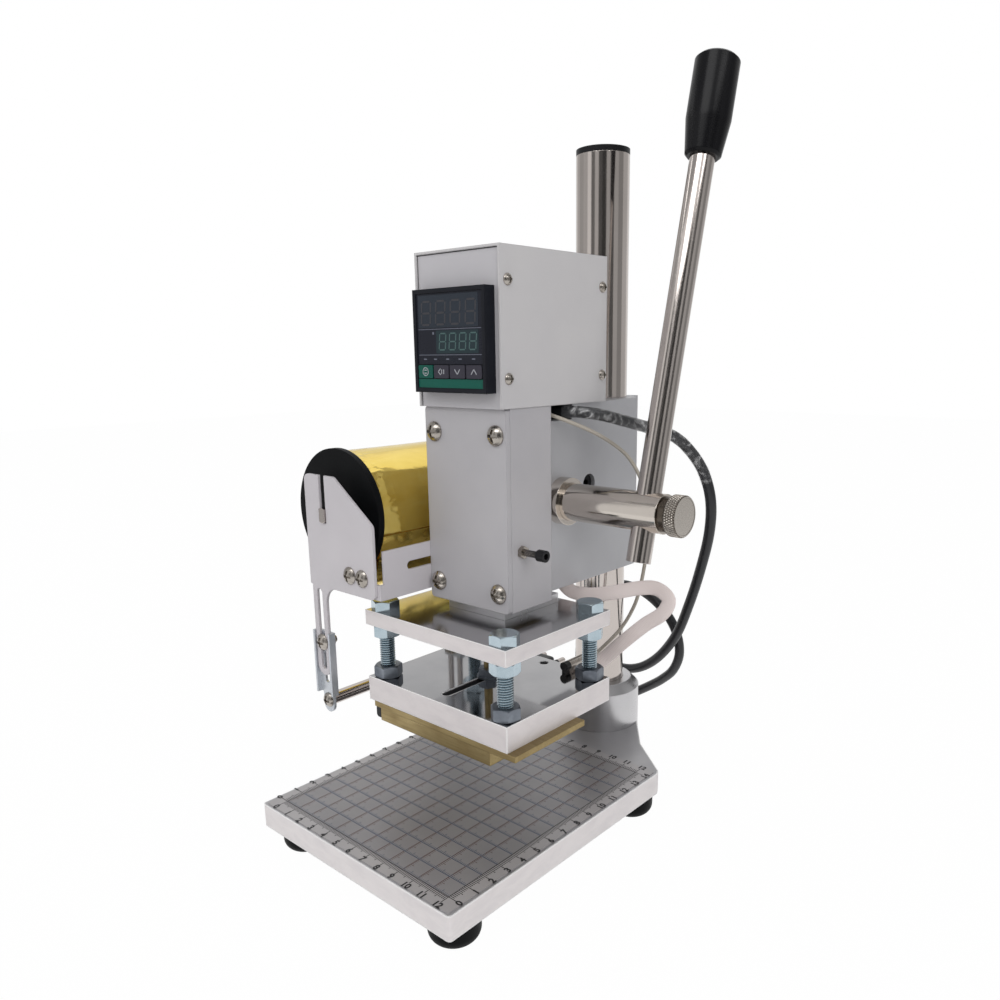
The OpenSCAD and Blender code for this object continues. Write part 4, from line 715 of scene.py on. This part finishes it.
heaterSettings = {
    "width": 7.8, "thick": 2.2, "sides": 20, "steps": 6, "first": (0.64, -0.73, 0.2),
    "route": [
        (14, -52, 128), (14, -52, 126.5), (14, -52, 125), (18, -49, 120.5), (28, -45, 120), (40, -41, 122.5),
        (52, -37, 126), (62, -34, 127), (69, -33, 122), (66, -34, 114), (56, -35, 106), (44, -37, 94.5),
        (34, -39.5, 84), (27.5, -46, 77), (25, -52, 75.5), (25, -55, 75.5), (25, -59, 75.5),
    ],
}
probeSettings = {
    "width": 2.0, "thick": 2.0, "sides": 14, "steps": 6, "first": upward,
    "route": [
        (17, -75, 219.5), (19.5, -75, 219.5), (22, -75, 219.5), (30, -71, 216.5), (37, -60, 211),
        (41, -47, 204), (44, -35, 195), (46, -26, 182), (46.5, -21, 166), (45.5, -19, 142), (42, -20, 119),
        (38, -22, 106), (33, -27, 95), (28, -39, 85.5), (28, -42, 85.5), (28, -45, 85.5),
    ],
}


def makeLead(s, name, node, finish):
    path = [at(*p) for p in curveThrough(s["route"], s["steps"])]
    tube = sweep(name, path, (s["width"], s["thick"]), s["sides"], s["first"])
    handOver(tube, finish, stands=node)
    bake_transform(tube)


makeLead(heaterSettings, "heaterLead", "heater_lead", "fibreSleeve")
makeLead(probeSettings, "probeLead", "probe_lead", "probeSheath")
print("leads laid")

# solids from the frame keep their shape; each gets its finish and smooth round faces
nodeFinish = {
    "baseAluminium": "base_plate", "printedSheet": "base_scale", "footRubber": "rubber_feet",
    "zincBlue": "foot_screws", "turnedAluminium": "column_collar", "blockAluminium": "head_block",
    "blackOxide": "collar_screw clamp_screws gib_adjuster die_stop",
    "nickel": "column foil_spindle lever_rod guide_rod", "capPlastic": "column_cap cord_gland",
    "hubNickel": "pinion_bushes pinion_shaft", "housingPaint": "slide_housing front_cover",
    "screwNickel": "cover_screws box_screws bracket_screws guide_screws",
    "milledBrass": "ram_guides die_carrier die_block carrier_stud",
    "boxPanel": "control_chassis", "boxPaint": "control_cover", "casePlastic": "controller_case",
    "facePlate": "controller_face", "keyGreen": "key_set", "keyGrey": "key_shift key_down key_up",
    "bracketPaint": "foil_bracket foil_front_plate foil_rear_plate", "gripPlastic": "lever_grip",
    "groundSteel": "ram_bar ram_rack heater_cartridges", "plateAluminium": "upper_plate",
    "heatAluminium": "heating_plate", "probeSteel": "probe", "zincDark": "carrier_nut",
    "coreCard": "foil_core", "flangePlastic": "roll_flanges", "linkZinc": "guide_links",
}
# each key's second colour is the painted shade in the grooves between its ridges
keySettings = {
    "keyGreen": (tone(18, 86, 74), tone(14, 72, 62)),
    "keyGrey": (tone(60, 58, 68), tone(50, 49, 58)),
}
# the third value is the width in mm of the painted shade beside the box's cover
dressSettings = {"weld": 0.004, "angle": 32.0, "gapShade": 0.6, "sleeve": 3.6, "gibEnd": 29.9}


def keyFinish(name, colour, deep):  # keys have fine moulded ridges across them, with painted shade down into each groove
    f = Finish(name)
    ridge = f.calc("PINGPONG", f.times(f.split(f.obj)[2], 1000.0), 0.3)
    fine = f.grain(f.obj, 1500.0)
    height = f.plus(ridge, f.times(fine, 0.05))
    f.end(f.mix(f.spread(ridge, 0.0, 1.0, 0.0, 0.3), deep, colour), f.spread(fine, 0.34, 0.46),
          f.relief(height, 0.1, 0.5, f.softEdge(0.3)), ior=1.25)


def seamMask(f):  # painted shade along the gap beside the box's cover
    x, y, z = f.split(f.obj)
    low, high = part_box("control_chassis")
    gap = f.calc("MINIMUM", f.less(x, low[0]), f.less(high[0], x))
    gap = f.calc("MINIMUM", gap, f.less(high[2], z))
    gapShade = dressSettings["gapShade"] * mm
    return f.spread(gap, 1.0, 0.0, gapShade * 0.7, gapShade), None


def sleeveMask(f):  # a black sleeve on the front end of the probe
    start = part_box("probe")[0][1] + dressSettings["sleeve"] * mm
    black = f.calc("LESS_THAN", f.split(f.obj)[1], start)
    return black, f.rest(black)


def dressNode(name, finish, s):
    obj = nodes[name]
    focus(obj)
    if obj.data.has_custom_normals:
        bpy.ops.mesh.customdata_custom_splitnormals_clear()
    paint(obj, finishes[finish])
    for face in obj.data.polygons:
        face.use_smooth = True
    modify(obj, "WELD", merge_threshold=s["weld"] * mm)
    modify(obj, "EDGE_SPLIT", split_angle=math.radians(s["angle"]), use_edge_sharp=False)


darkFinish("probeSteel", "screwNickel", (20, 20, 22), sleeveMask, rough=(0.24, 0.4), strength=0.3)
# the box's front panel, with a line of painted shade along the gap beside its cover
darkFinish("boxPanel", "boxPaint", (58, 57, 59), seamMask, colour=(183, 181, 185), second=(177, 175, 179))
for name, colours in keySettings.items():
    keyFinish(name, *colours)
for finish, names in nodeFinish.items():
    for name in names.split():
        dressNode(name, finish, dressSettings)
gib = nodes["gib_adjuster"].data
gib.materials.append(finishes["screwNickel"])
twoTone(gib, lambda c: c.x < at(dressSettings["gibEnd"], 0, 0).x)
print("solids dressed")

# threaded bolts and chamfered nuts of the heating head
boltSettings = {
    "places": [(-42.5, -131.5, 8.0), (42.5, -131.5, -30.0), (-42.5, -66.5, 17.0), (42.5, -66.5, -14.0)],
    "flats": 13.0, "drop": 0.75, "headBottom": 119.0, "headHeight": 5.3,
    "nutHeight": 6.5, "nutBottoms": (82.0, 104.5), "nutTurn": 22.0, "nutBore": 4.05, "darkBelow": 96.0,
    "major": 8.0, "minor": 6.4, "pitch": 1.25, "threadBottom": 72.5, "threadSteps": 28,
}


def threadMask(f):  # one finish for the four bolts, which stand evenly about the middle, with painted shade in the thread roots
    s = boltSettings
    x, y, z = f.split(f.obj)
    low, high = at(*s["places"][0][:2], 0), at(s["places"][1][0], s["places"][2][1], 0)
    offs = []
    for value, a, b in ((x, low.x, high.x), (y, low.y, high.y)):
        offs.append(f.less(f.calc("ABSOLUTE", f.less(value, (a + b) / 2)), (b - a) / 2))
    return f.spread(f.radius(*offs), 1.0, 0.0, s["minor"] / 2 * mm, s["major"] / 2 * mm), 1.0


# the bolt threads' zinc, darkened in the roots as painted shade
darkFinish("threadZinc", "zincBlue", (106, 122, 130), threadMask, second=(188, 202, 210), rough=(0.2, 0.32))


def hexBlank(name, s, height, ends):  # a turned blank with sloping rims takes the corners off at these ends
    corner, drop = s["flats"] / math.sqrt(3) * mm, s["drop"] * mm
    outer = corner * 1.02
    addCylinder = bpy.ops.mesh.primitive_cylinder_add
    blank = added(addCylinder, name, vertices=6, radius=corner, depth=height * mm)
    turned = added(addCylinder, "turned", vertices=96, radius=outer, depth=height * mm - drop * len(ends),
                   location=(0, 0, -drop / 2 * sum(ends)))
    applyPlace(turned)
    narrow = s["flats"] / 2 * 0.97 * mm / outer
    for side in ends:
        pick(turned, "FACE", lambda f: f.normal.z * side > 0.9)
        extrude(0, 0, side * drop)
        bpy.ops.transform.resize(value=(narrow, narrow, 1))
        closeEdit()
    cutWith(blank, turned, "INTERSECT")
    return blank


def threadedShank(s):
    low, high, pitch = s["minor"] / 2 * mm, s["major"] / 2 * mm, s["pitch"] * mm
    profile = [(low, 0, 0), (high, 0, 0.42 * pitch), (high, 0, 0.58 * pitch), (low, 0, pitch)]
    shank = meshObject("shank", profile, [], [(0, 1), (1, 2), (2, 3)])
    turns = int((s["headBottom"] + 1.2 - s["threadBottom"]) / s["pitch"])
    modify(shank, "SCREW", axis="Z", angle=2 * math.pi, screw_offset=pitch, iterations=turns,
           steps=s["threadSteps"], render_steps=s["threadSteps"])
    applyModifiers(shank)
    openEdit(shank)
    bpy.ops.mesh.remove_doubles(threshold=0.000002)
    bpy.ops.mesh.select_all(action="SELECT")
    bpy.ops.mesh.fill_holes(sides=0)
    turnOut()
    closeEdit()
    return shank


def makeBolts(s):
    head = hexBlank("boltHead", s, s["headHeight"], (1,))
    shank = threadedShank(s)
    nut = hexBlank("nut", s, s["nutHeight"], (1, -1))
    drill = added(bpy.ops.mesh.primitive_cylinder_add, "drill", vertices=64, radius=s["nutBore"] * mm,
                  depth=0.02)
    cutWith(nut, drill, "DIFFERENCE")
    bolts, nuts = [], []
    for x, y, turn in s["places"]:
        a = math.radians(turn)
        bolts.append(placeCopy(head, at(x, y, s["headBottom"] + s["headHeight"] / 2), (0, 0, a)))
        bolts.append(placeCopy(shank, at(x, y, s["threadBottom"]), (0, 0, a * 3)))
        for k, z in enumerate(s["nutBottoms"]):
            a = math.radians(turn + s["nutTurn"] * (k + 1))
            nuts.append(placeCopy(nut, at(x, y, z + s["nutHeight"] / 2), (0, 0, a)))
    for blank in (head, shank, nut):
        bpy.data.objects.remove(blank)
    boltSet, nutSet = joinAll(bolts, "plateBolts"), joinAll(nuts, "plateNuts")
    handOver(boltSet, "zincBlue threadZinc", "ram", "plate_bolts", 28)
    handOver(nutSet, "zincBlue zincDark", "ram", "plate_nuts", 28)
    twoTone(boltSet.data, lambda c: c.z < s["headBottom"] * mm)
    twoTone(nutSet.data, lambda c: c.z < s["darkBelow"] * mm)


makeBolts(boltSettings)
print("bolts and nuts made")

# knurled knob at the end of the lever's hub
knobSettings = {
    "axis": (-66.5, 174.8), "neckLeft": 86.75, "neckRadius": 8.5, "left": 90.6, "length": 6.4, "radius": 10.0,
    # the last pair gives the radii over which the knob fades into painted shade
    "edge": 0.55, "teeth": 50, "rings": 26, "depth": 0.5, "slant": 0.4, "groove": 0.26, "dark": (9.62, 9.98),
}


def knurlMask(f):  # painted shade at the bottom of the grooves and on the narrow neck, but not on the flat ends
    x, y, z = f.split(f.obj)
    middle = at(0, *knobSettings["axis"])
    inner, outer = knobSettings["dark"]
    endFace = f.spread(f.calc("ABSOLUTE", f.split(f.normal)[0]), 0.0, 1.0, 0.8, 0.9)
    radius = f.radius(f.less(y, middle.y), f.less(z, middle.z))
    return f.times(f.spread(radius, 1.0, 0.0, inner * mm, outer * mm), f.rest(endFace)), 1.0


# the knob's nickel, with painted shade in the knurl's grooves and on its neck
darkFinish("knurlNickel", "hubNickel", (92, 84, 76), knurlMask, second=(206, 199, 191), rough=(0.2, 0.34),
           depth=0.006, strength=0.2)


def makeKnob(s):
    y, z = s["axis"]
    knob = added(bpy.ops.mesh.primitive_circle_add, "clampKnob", vertices=s["teeth"] * 4, fill_type="NGON",
                 radius=s["neckRadius"] * mm, location=at(s["neckLeft"], y, z), rotation=(0, math.pi / 2, 0))
    applyPlace(knob)
    openEdit(knob)
    inner = s["radius"] - s["edge"]
    ringStep = (s["length"] - 2 * s["edge"]) / s["rings"]
    steps = [(s["left"] - s["neckLeft"], 1.0), (0.0, inner / s["neckRadius"])]
    steps += [(s["edge"], s["radius"] / inner)] + [(ringStep, 1.0)] * s["rings"]
    steps += [(s["edge"], inner / s["radius"]), (0.0, 0.93), (-0.12, 0.985)]
    for move, scale in steps:
        extrude(move * mm, 0, 0)
        bpy.ops.transform.resize(value=(1, scale, scale))
    turnOut()
    closeEdit()
    middle = at(s["left"], y, z)
    for v in knob.data.vertices:
        out = Vector((0, v.co.y - middle.y, v.co.z - middle.z))
        if out.length < (s["radius"] - 0.05) * mm:
            continue
        share = math.atan2(out.z, out.y) / (2 * math.pi) * s["teeth"]
        slide = (v.co.x - middle.x) / mm * s["slant"]
        groove = min(abs((share + slide) % 1.0 - 0.5), abs((share - slide) % 1.0 - 0.5))
        v.co -= out.normalized() * (s["depth"] * mm * max(0.0, 1.0 - groove / s["groove"]))
    handOver(knob, "knurlNickel", "knob", "clamp_knob", 24)


makeKnob(knobSettings)
print("knob made")

# foil roll: soft winding, pressed flat between two creases, with crumples by the front flange
rollSettings = {
    "axis": (-70.0, 168.05), "front": -134.3, "rear": -58.7, "radius": 32.3, "coreRadius": 15.3,
    "wall": 0.74, "sides": 360, "rings": 84, "lowCrease": -15.0, "highCrease": (45.0, 37.0),
    "press": 0.85, "crumpled": 16.0,
}


def foilDent(s, angle, along):  # how far the surface lies under the round one, in mm
    share = along / (s["rear"] - s["front"])
    first, last = s["highCrease"]
    high = first + (last - first) * share + 1.1 * noise.noise(Vector((along * 0.31, 4.0, 1.0)))
    low = s["lowCrease"] + 0.6 * noise.noise(Vector((along * 0.2, 1.7, 3.3)))
    dent = 0.3 * (noise.noise(Vector((angle * 0.045, along * 0.02, 2.3))) + 0.6)
    near = max(0.0, 1.0 - along / s["crumpled"])
    dent += near * 0.7 * abs(noise.noise(Vector((angle * 0.16, along * 0.22, 9.4))))
    if low < angle < high:
        half, off = math.radians((high - low) / 2), math.radians(angle - (low + high) / 2)
        dent += s["press"] * s["radius"] * (1.0 - math.cos(half) / math.cos(off))
    return dent


def makeRoll(s):
    x, z = s["axis"]
    middle = at(x, s["front"], z)
    roll = added(bpy.ops.mesh.primitive_circle_add, "foilRoll", vertices=s["sides"], fill_type="NOTHING",
                 radius=s["radius"] * mm, location=middle, rotation=(math.pi / 2, 0, 0))
    applyPlace(roll)
    openEdit(roll, "EDGE")
    step = (s["rear"] - s["front"]) / s["rings"] * mm
    for i in range(s["rings"]):
        extrude(0, step, 0)
    closeEdit()
    for v in roll.data.vertices:
        out = Vector((v.co.x - middle.x, 0, v.co.z - middle.z))
        angle = math.degrees(math.atan2(out.z, out.x))
        v.co -= out.normalized() * foilDent(s, angle, (v.co.y - middle.y) / mm) * mm
    faceOut(roll)
    modify(roll, "SOLIDIFY", thickness=(s["radius"] - s["coreRadius"]) * mm * s["wall"], offset=-1.0)
    applyModifiers(roll)
    handOver(roll, "goldFoil", "roll", "foil_roll", 60)


# slack outer turn of the foil: leaves the roll on its inner side, sags and rejoins it on its outer side
slackSettings = {
    "turns": [  # degrees round the roll, mm off its surface
        (-17.0, 0.4), (-34.0, 1.95), (-44.5, 4.6), (-53.9, 7.9), (-64.3, 10.4), (-75.9, 10.65), (-88.0, 10.0),
        (-101.4, 8.3), (-116.5, 5.8), (-140.0, 0.4),
    ],
    "front": -134.0, "rear": -59.4, "steps": 6, "columns": 64, "wave": 0.8, "thick": 0.06,
}


def makeSlack(s, roll):
    middle = Vector((roll["axis"][0], 0.0, roll["axis"][1]))
    points = []
    for turn, off in s["turns"]:
        a = math.radians(turn)
        points.append(middle + (roll["radius"] + off) * Vector((math.cos(a), 0.0, math.sin(a))))
    path = curveThrough(points, s["steps"])
    width, columns = s["rear"] - s["front"], s["columns"]
    verts, faces = [], []
    for i, p in enumerate(path):
        loose = math.sin(math.pi * i / (len(path) - 1))
        for k in range(columns + 1):
            along = s["front"] + width * k / columns
            wave = s["wave"] * loose * noise.noise(Vector((along * 0.07, i * 0.06, 5.0)))
            spot = p + (p - middle).normalized() * wave
            verts.append(at(spot.x, along, spot.z))
    for i in range(len(path) - 1):
        for k in range(columns):
            first = i * (columns + 1) + k
            faces.append((first, first + 1, first + columns + 2, first + columns + 1))
    slack = meshObject("looseFoil", verts, faces)
    modify(slack, "SOLIDIFY", thickness=s["thick"] * mm)
    applyModifiers(slack)
    faceOut(slack)
    handOver(slack, "goldFoil", "head", angle=60)


makeRoll(rollSettings)
makeSlack(slackSettings, rollSettings)
print("foil roll made")

# controller front: windows, segment digits, lines, marks and key signs
signRing = [(1.9 * math.cos(a), 1.9 * math.sin(a)) for a in [math.radians(30 * k) for k in range(13)]]
panelSettings = {
    "middle": 255.3, "front": -120.2, "width": 44.0,
    "slabs": [  # left, top, right, bottom as shares of the face, proud and rounding in mm, finish
        ("upperWindow", 0.03, 0.02, 0.94, 0.36, 0.10, 0.5, "windowGrey"),
        ("lowerWindow", 0.30, 0.39, 0.94, 0.63, 0.10, 0.5, "windowTeal"),
        ("lineHigh", 0.02, 0.372, 0.98, 0.378, 0.06, 0.0, "panelPrint"),
        ("lineLow", 0.02, 0.642, 0.98, 0.648, 0.06, 0.0, "panelPrint"),
        ("colourStrip", 0.0, 0.90, 1.0, 0.995, 0.08, 0.0, "stripGreen"),
        ("smallMark", 0.245, 0.405, 0.27, 0.43, 0.08, 0.0, "panelPrint"),
    ],
    "marks": (0.12, 0.28, 0.47, 0.66, 0.86), "markTop": 0.69, "markSize": (2.0, 0.05, 0.55),
    "digits": [  # name, first left share, top share, height, width, pitch, stroke, slant, finish
        ("upperDigits", 0.077, 0.075, 10.6, 6.2, 9.9, 0.95, 0.06, "ghostDigit"),
        ("lowerDigits", 0.345, 0.415, 7.5, 4.2, 6.7, 0.6, 0.10, "tealDigit"),
    ],
    "digitBase": 0.10, "digitProud": 0.05, "signStroke": 0.42, "signProud": 0.06,
    "keyFront": -120.8, "keyMiddle": 241.1, "keyPitch": 10.9,
    "signs": [  # name, body, strokes about the middle of the key
        ("ringSign", "set_key", [signRing, [(-0.8, -0.7), (0.8, -0.7)], [(-0.8, 0.7), (0.8, 0.7)]]),
        ("leftSign", "shift_key", [[(-0.4, 1.4), (-2.0, 0.0), (-0.4, -1.4)], [(0.4, 1.0), (0.4, -1.0)],
                                   [(1.8, 1.0), (1.8, -1.0)]]),
        ("downSign", "down_key", [[(-1.7, 1.1), (0.0, -1.2), (1.7, 1.1)]]),
        ("upSign", "up_key", [[(-1.7, -1.1), (0.0, 1.2), (1.7, -1.1)]]),
    ],
}


def facePoint(s, u, v, proud):
    half = s["width"] / 2
    return at(-half + s["width"] * u, s["front"] - proud, s["middle"] + half - s["width"] * v)


def thinSlab(name, low, high, rounding=0.0):  # a flat bar between two corners, its upright edges rounded
    slab = added(bpy.ops.mesh.primitive_cube_add, name, size=1.0, location=(low + high) / 2)
    slab.scale = [max(abs(c), 0.00001) for c in high - low]
    applyPlace(slab)
    if rounding:
        pick(slab, "EDGE", lambda e: abs((e.verts[0].co - e.verts[1].co).normalized().y) > 0.9)
        bpy.ops.mesh.bevel(offset=rounding * mm, segments=4, affect="EDGES")
        closeEdit()
    return slab


def segmentBar(length, stroke, proud):  # six-sided bar lying along X, front towards -Y
    half, tip = length / 2 * mm, stroke / 2 * mm
    outline = [(-half, 0), (-half + tip, -tip), (half - tip, -tip), (half, 0), (half - tip, tip),
               (-half + tip, tip)]
    bar = meshObject("segment", [(x, 0, z) for x, z in outline], [tuple(range(6))])
    openEdit(bar)
    extrude(0, -proud * mm, 0)
    turnOut()
    closeEdit()
    return bar


def makeDigits(s, name, left, top, height, width, pitch, stroke, slant, finish):
    flat = segmentBar(width - stroke * 0.9, stroke, s["digitProud"])
    upright = segmentBar(height / 2 - stroke * 0.55, stroke, s["digitProud"])
    start = facePoint(s, left, top, s["digitBase"])
    bars = [(flat, width / 2, z, 0.0) for z in (0.0, -height / 2, -height)]
    bars += [(upright, x, z, math.pi / 2 + math.atan(slant)) for x in (0.0, width)
             for z in (-height / 4, -height * 3 / 4)]
    parts = []
    for n in range(4):
        for kind, x, z, turn in bars:
            lean = slant * (height + z)
            spot = start + Vector(((n * pitch + x + lean) * mm, 0, (z - stroke / 2) * mm))
            parts.append(placeCopy(kind, spot, (0, turn, 0)))
    for blank in (flat, upright):
        bpy.data.objects.remove(blank)
    handOver(joinAll(parts, name), finish, "head")


def makeSign(s, name, body, strokes, x, z):  # bent strokes on a key, from flat bars
    bars = []
    for points in strokes:
        for a, b in zip(points, points[1:]):
            way = Vector((b[0] - a[0], b[1] - a[1], 0))
            bar = segmentBar(way.length + s["signStroke"] * 0.8, s["signStroke"], s["signProud"])
            spot = at(x + (a[0] + b[0]) / 2, s["keyFront"], z + (a[1] + b[1]) / 2)
            bars.append(applyPlace(bar, spot, (0, -math.atan2(way.y, way.x), 0)))
    handOver(joinAll(bars, name), "keySign", body)


def makePanel(s):
    for name, u0, v0, u1, v1, proud, rounding, finish in s["slabs"]:
        slab = thinSlab(name, facePoint(s, u0, v1, proud), facePoint(s, u1, v0, 0.0), rounding)
        handOver(slab, finish, "head", angle=30)
    w, proud, h = s["markSize"]
    marks = []
    for u in s["marks"]:
        middle = facePoint(s, u, s["markTop"], 0.0)
        low, high = Vector((-w / 2, -proud, -h / 2)) * mm, Vector((w / 2, 0, h / 2)) * mm
        marks.append(thinSlab("mark", middle + low, middle + high))
    handOver(joinAll(marks, "panelMarks"), "panelPrint", "head")
    for row in s["digits"]:
        makeDigits(s, *row)
    for k, sign in enumerate(s["signs"]):
        makeSign(s, *sign, (k - 1.5) * s["keyPitch"], s["keyMiddle"])


makePanel(panelSettings)
print("controller front made")

# numbers printed beside the table's rulers
numberSettings = {"gap": 6.5, "height": 3.3, "bold": 0.0002, "top": 25.4, "proud": 0.03}


def numberMesh(text, s):
    label = added(bpy.ops.object.text_add, "number")
    label.data.body = text
    label.data.align_x = label.data.align_y = "CENTER"
    label.data.size = s["height"] / 0.7 * mm
    label.data.extrude = s["proud"] / 2 * mm
    label.data.offset = s["bold"]
    label.data.resolution_u = 3
    bpy.ops.object.convert(target="MESH")
    return bpy.context.object


def makeNumbers(s, sheet):
    (x0, y0), (w, d) = sheet["corner"], sheet["size"]
    step, gap = sheet["step"], s["gap"]
    columns, rows = range(int(w / step) + 1), range(int(d / step) + 1)
    spots = [(i, x0 + step * i, y, 0.0) for y in (y0 - gap, y0 + d + gap) for i in columns]
    spots += [(i, x, y0 + step * i, math.pi / 2) for x in (x0 + w + gap, x0 - gap) for i in rows]
    labels = []
    for i, x, y, turn in spots:
        labels.append(applyPlace(numberMesh(str(i), s), at(x, y, s["top"] + s["proud"] / 2), (0, 0, turn)))
    handOver(joinAll(labels, "tableNumbers"), "tableInk", "base")


makeNumbers(numberSettings, sheetSettings)
print("table numbers made")

# studio: pale floor and backdrop light, soft lamps, and a ring of boards for the metal to mirror
studioSettings = {
    "floorTone": (0.86, 0.86, 0.86, 1.0), "floorGlow": 0.985, "worldLight": 0.5,
    "lamps": [  # name, place, aim, size, power
        ("keyLamp", (0.25, -1.5, 1.6), (0.0, -0.02, 0.15), (1.3, 1.0), 11.5),
        ("rightLamp", (1.6, -0.5, 0.9), (0.0, 0.0, 0.15), (0.9, 1.2), 10.0),
        ("leftLamp", (-1.5, -0.9, 0.9), (0.0, 0.0, 0.15), (0.9, 1.2), 6.0),
    ],
    "ring": {"radius": 0.72, "low": -0.2, "high": 0.72, "facing": -48.8},
    "boards": [  # degrees round the ring from the camera's side, brightness
        (-180, -150, 0.8), (-150, -128, 0.55), (-128, -100, 0.42), (-100, -76, 0.5), (-76, -56, 0.85),
        (-56, -38, 0.18), (-38, -20, 0.55), (-20, -3, 0.1), (-3, 16, 0.05), (16, 33, 0.42), (33, 51, 0.1),
        (51, 72, 0.45), (72, 96, 0.3), (96, 128, 0.55), (128, 180, 0.85),
    ],
    "roof": [  # place, size, brightness
        ((-0.55, -0.15, 0.95), (0.8, 1.2), 0.42), ((0.5, 0.35, 0.95), (0.7, 0.9), 0.3),
    ],
}


def raySplit(kit, plain, pale, share):  # pale to the camera, in mirrors and through film, plain to all else
    ray = kit.add("LightPath").outputs
    seen = kit.most(ray["Is Camera Ray"], kit.most(ray["Is Glossy Ray"], ray["Is Transmission Ray"]))
    mix = kit.add("MixShader", {0: kit.times(seen, share), 1: plain.outputs[0], 2: pale.outputs[0]})
    kit.feed(kit.out, mix.outputs[0])


def addBoard(name, corners, glow):  # seen only in mirrors
    board = meshObject(name, corners, [(0, 1, 2, 3)])
    mat = bpy.data.materials.new(name)
    kit = NodeKit(mat, "OutputMaterial")
    kit.feed(kit.out, kit.add("Emission", {"Strength": glow}).outputs[0])
    paint(board, mat)
    board.visible_camera = board.visible_diffuse = board.visible_shadow = False


def buildStudio(s):
    scene = bpy.context.scene
    scene.view_settings.view_transform = "Standard"
    scene.world = bpy.data.worlds.new("studioWorld")
    kit = NodeKit(scene.world, "OutputWorld")
    lit = kit.add("Background", {"Color": white, "Strength": s["worldLight"]})
    raySplit(kit, lit, kit.add("Background", {"Color": white, "Strength": 1.0}), 1.0)

    floor = added(bpy.ops.mesh.primitive_plane_add, "studioFloor", size=6.0, location=(0, 0, -0.0003))
    mat = bpy.data.materials.new("floorPaper")
    kit = NodeKit(mat, "OutputMaterial")
    paper = kit.add("BsdfDiffuse", {"Color": s["floorTone"]})
    raySplit(kit, paper, kit.add("Emission", {"Color": white, "Strength": 1.0}), s["floorGlow"])
    paint(floor, mat)

    for name, place, aim, size, power in s["lamps"]:
        turn = (Vector(place) - Vector(aim)).to_track_quat("Z", "Y").to_euler()
        lamp = added(bpy.ops.object.light_add, name, type="AREA", location=place, rotation=turn)
        lamp.data.shape = "RECTANGLE"
        lamp.data.size, lamp.data.size_y = size
        lamp.data.energy = power

    ring = s["ring"]
    for i, (first, last, glow) in enumerate(s["boards"]):
        ends = [math.radians(ring["facing"] + turn) for turn in (first, last)]
        (x0, y0), (x1, y1) = [(ring["radius"] * math.cos(a), ring["radius"] * math.sin(a)) for a in ends]
        low, high = ring["low"], ring["high"]
        addBoard("ringBoard%d" % i, [(x0, y0, low), (x1, y1, low), (x1, y1, high), (x0, y0, high)], glow)
    for i, ((x, y, z), (w, d), glow) in enumerate(s["roof"]):
        corners = [(x + w * a, y + d * b, z) for a, b in ((-0.5, -0.5), (0.5, -0.5), (0.5, 0.5), (-0.5, 0.5))]
        addBoard("roofBoard%d" % i, corners, glow)


buildStudio(studioSettings)
print("studio set")
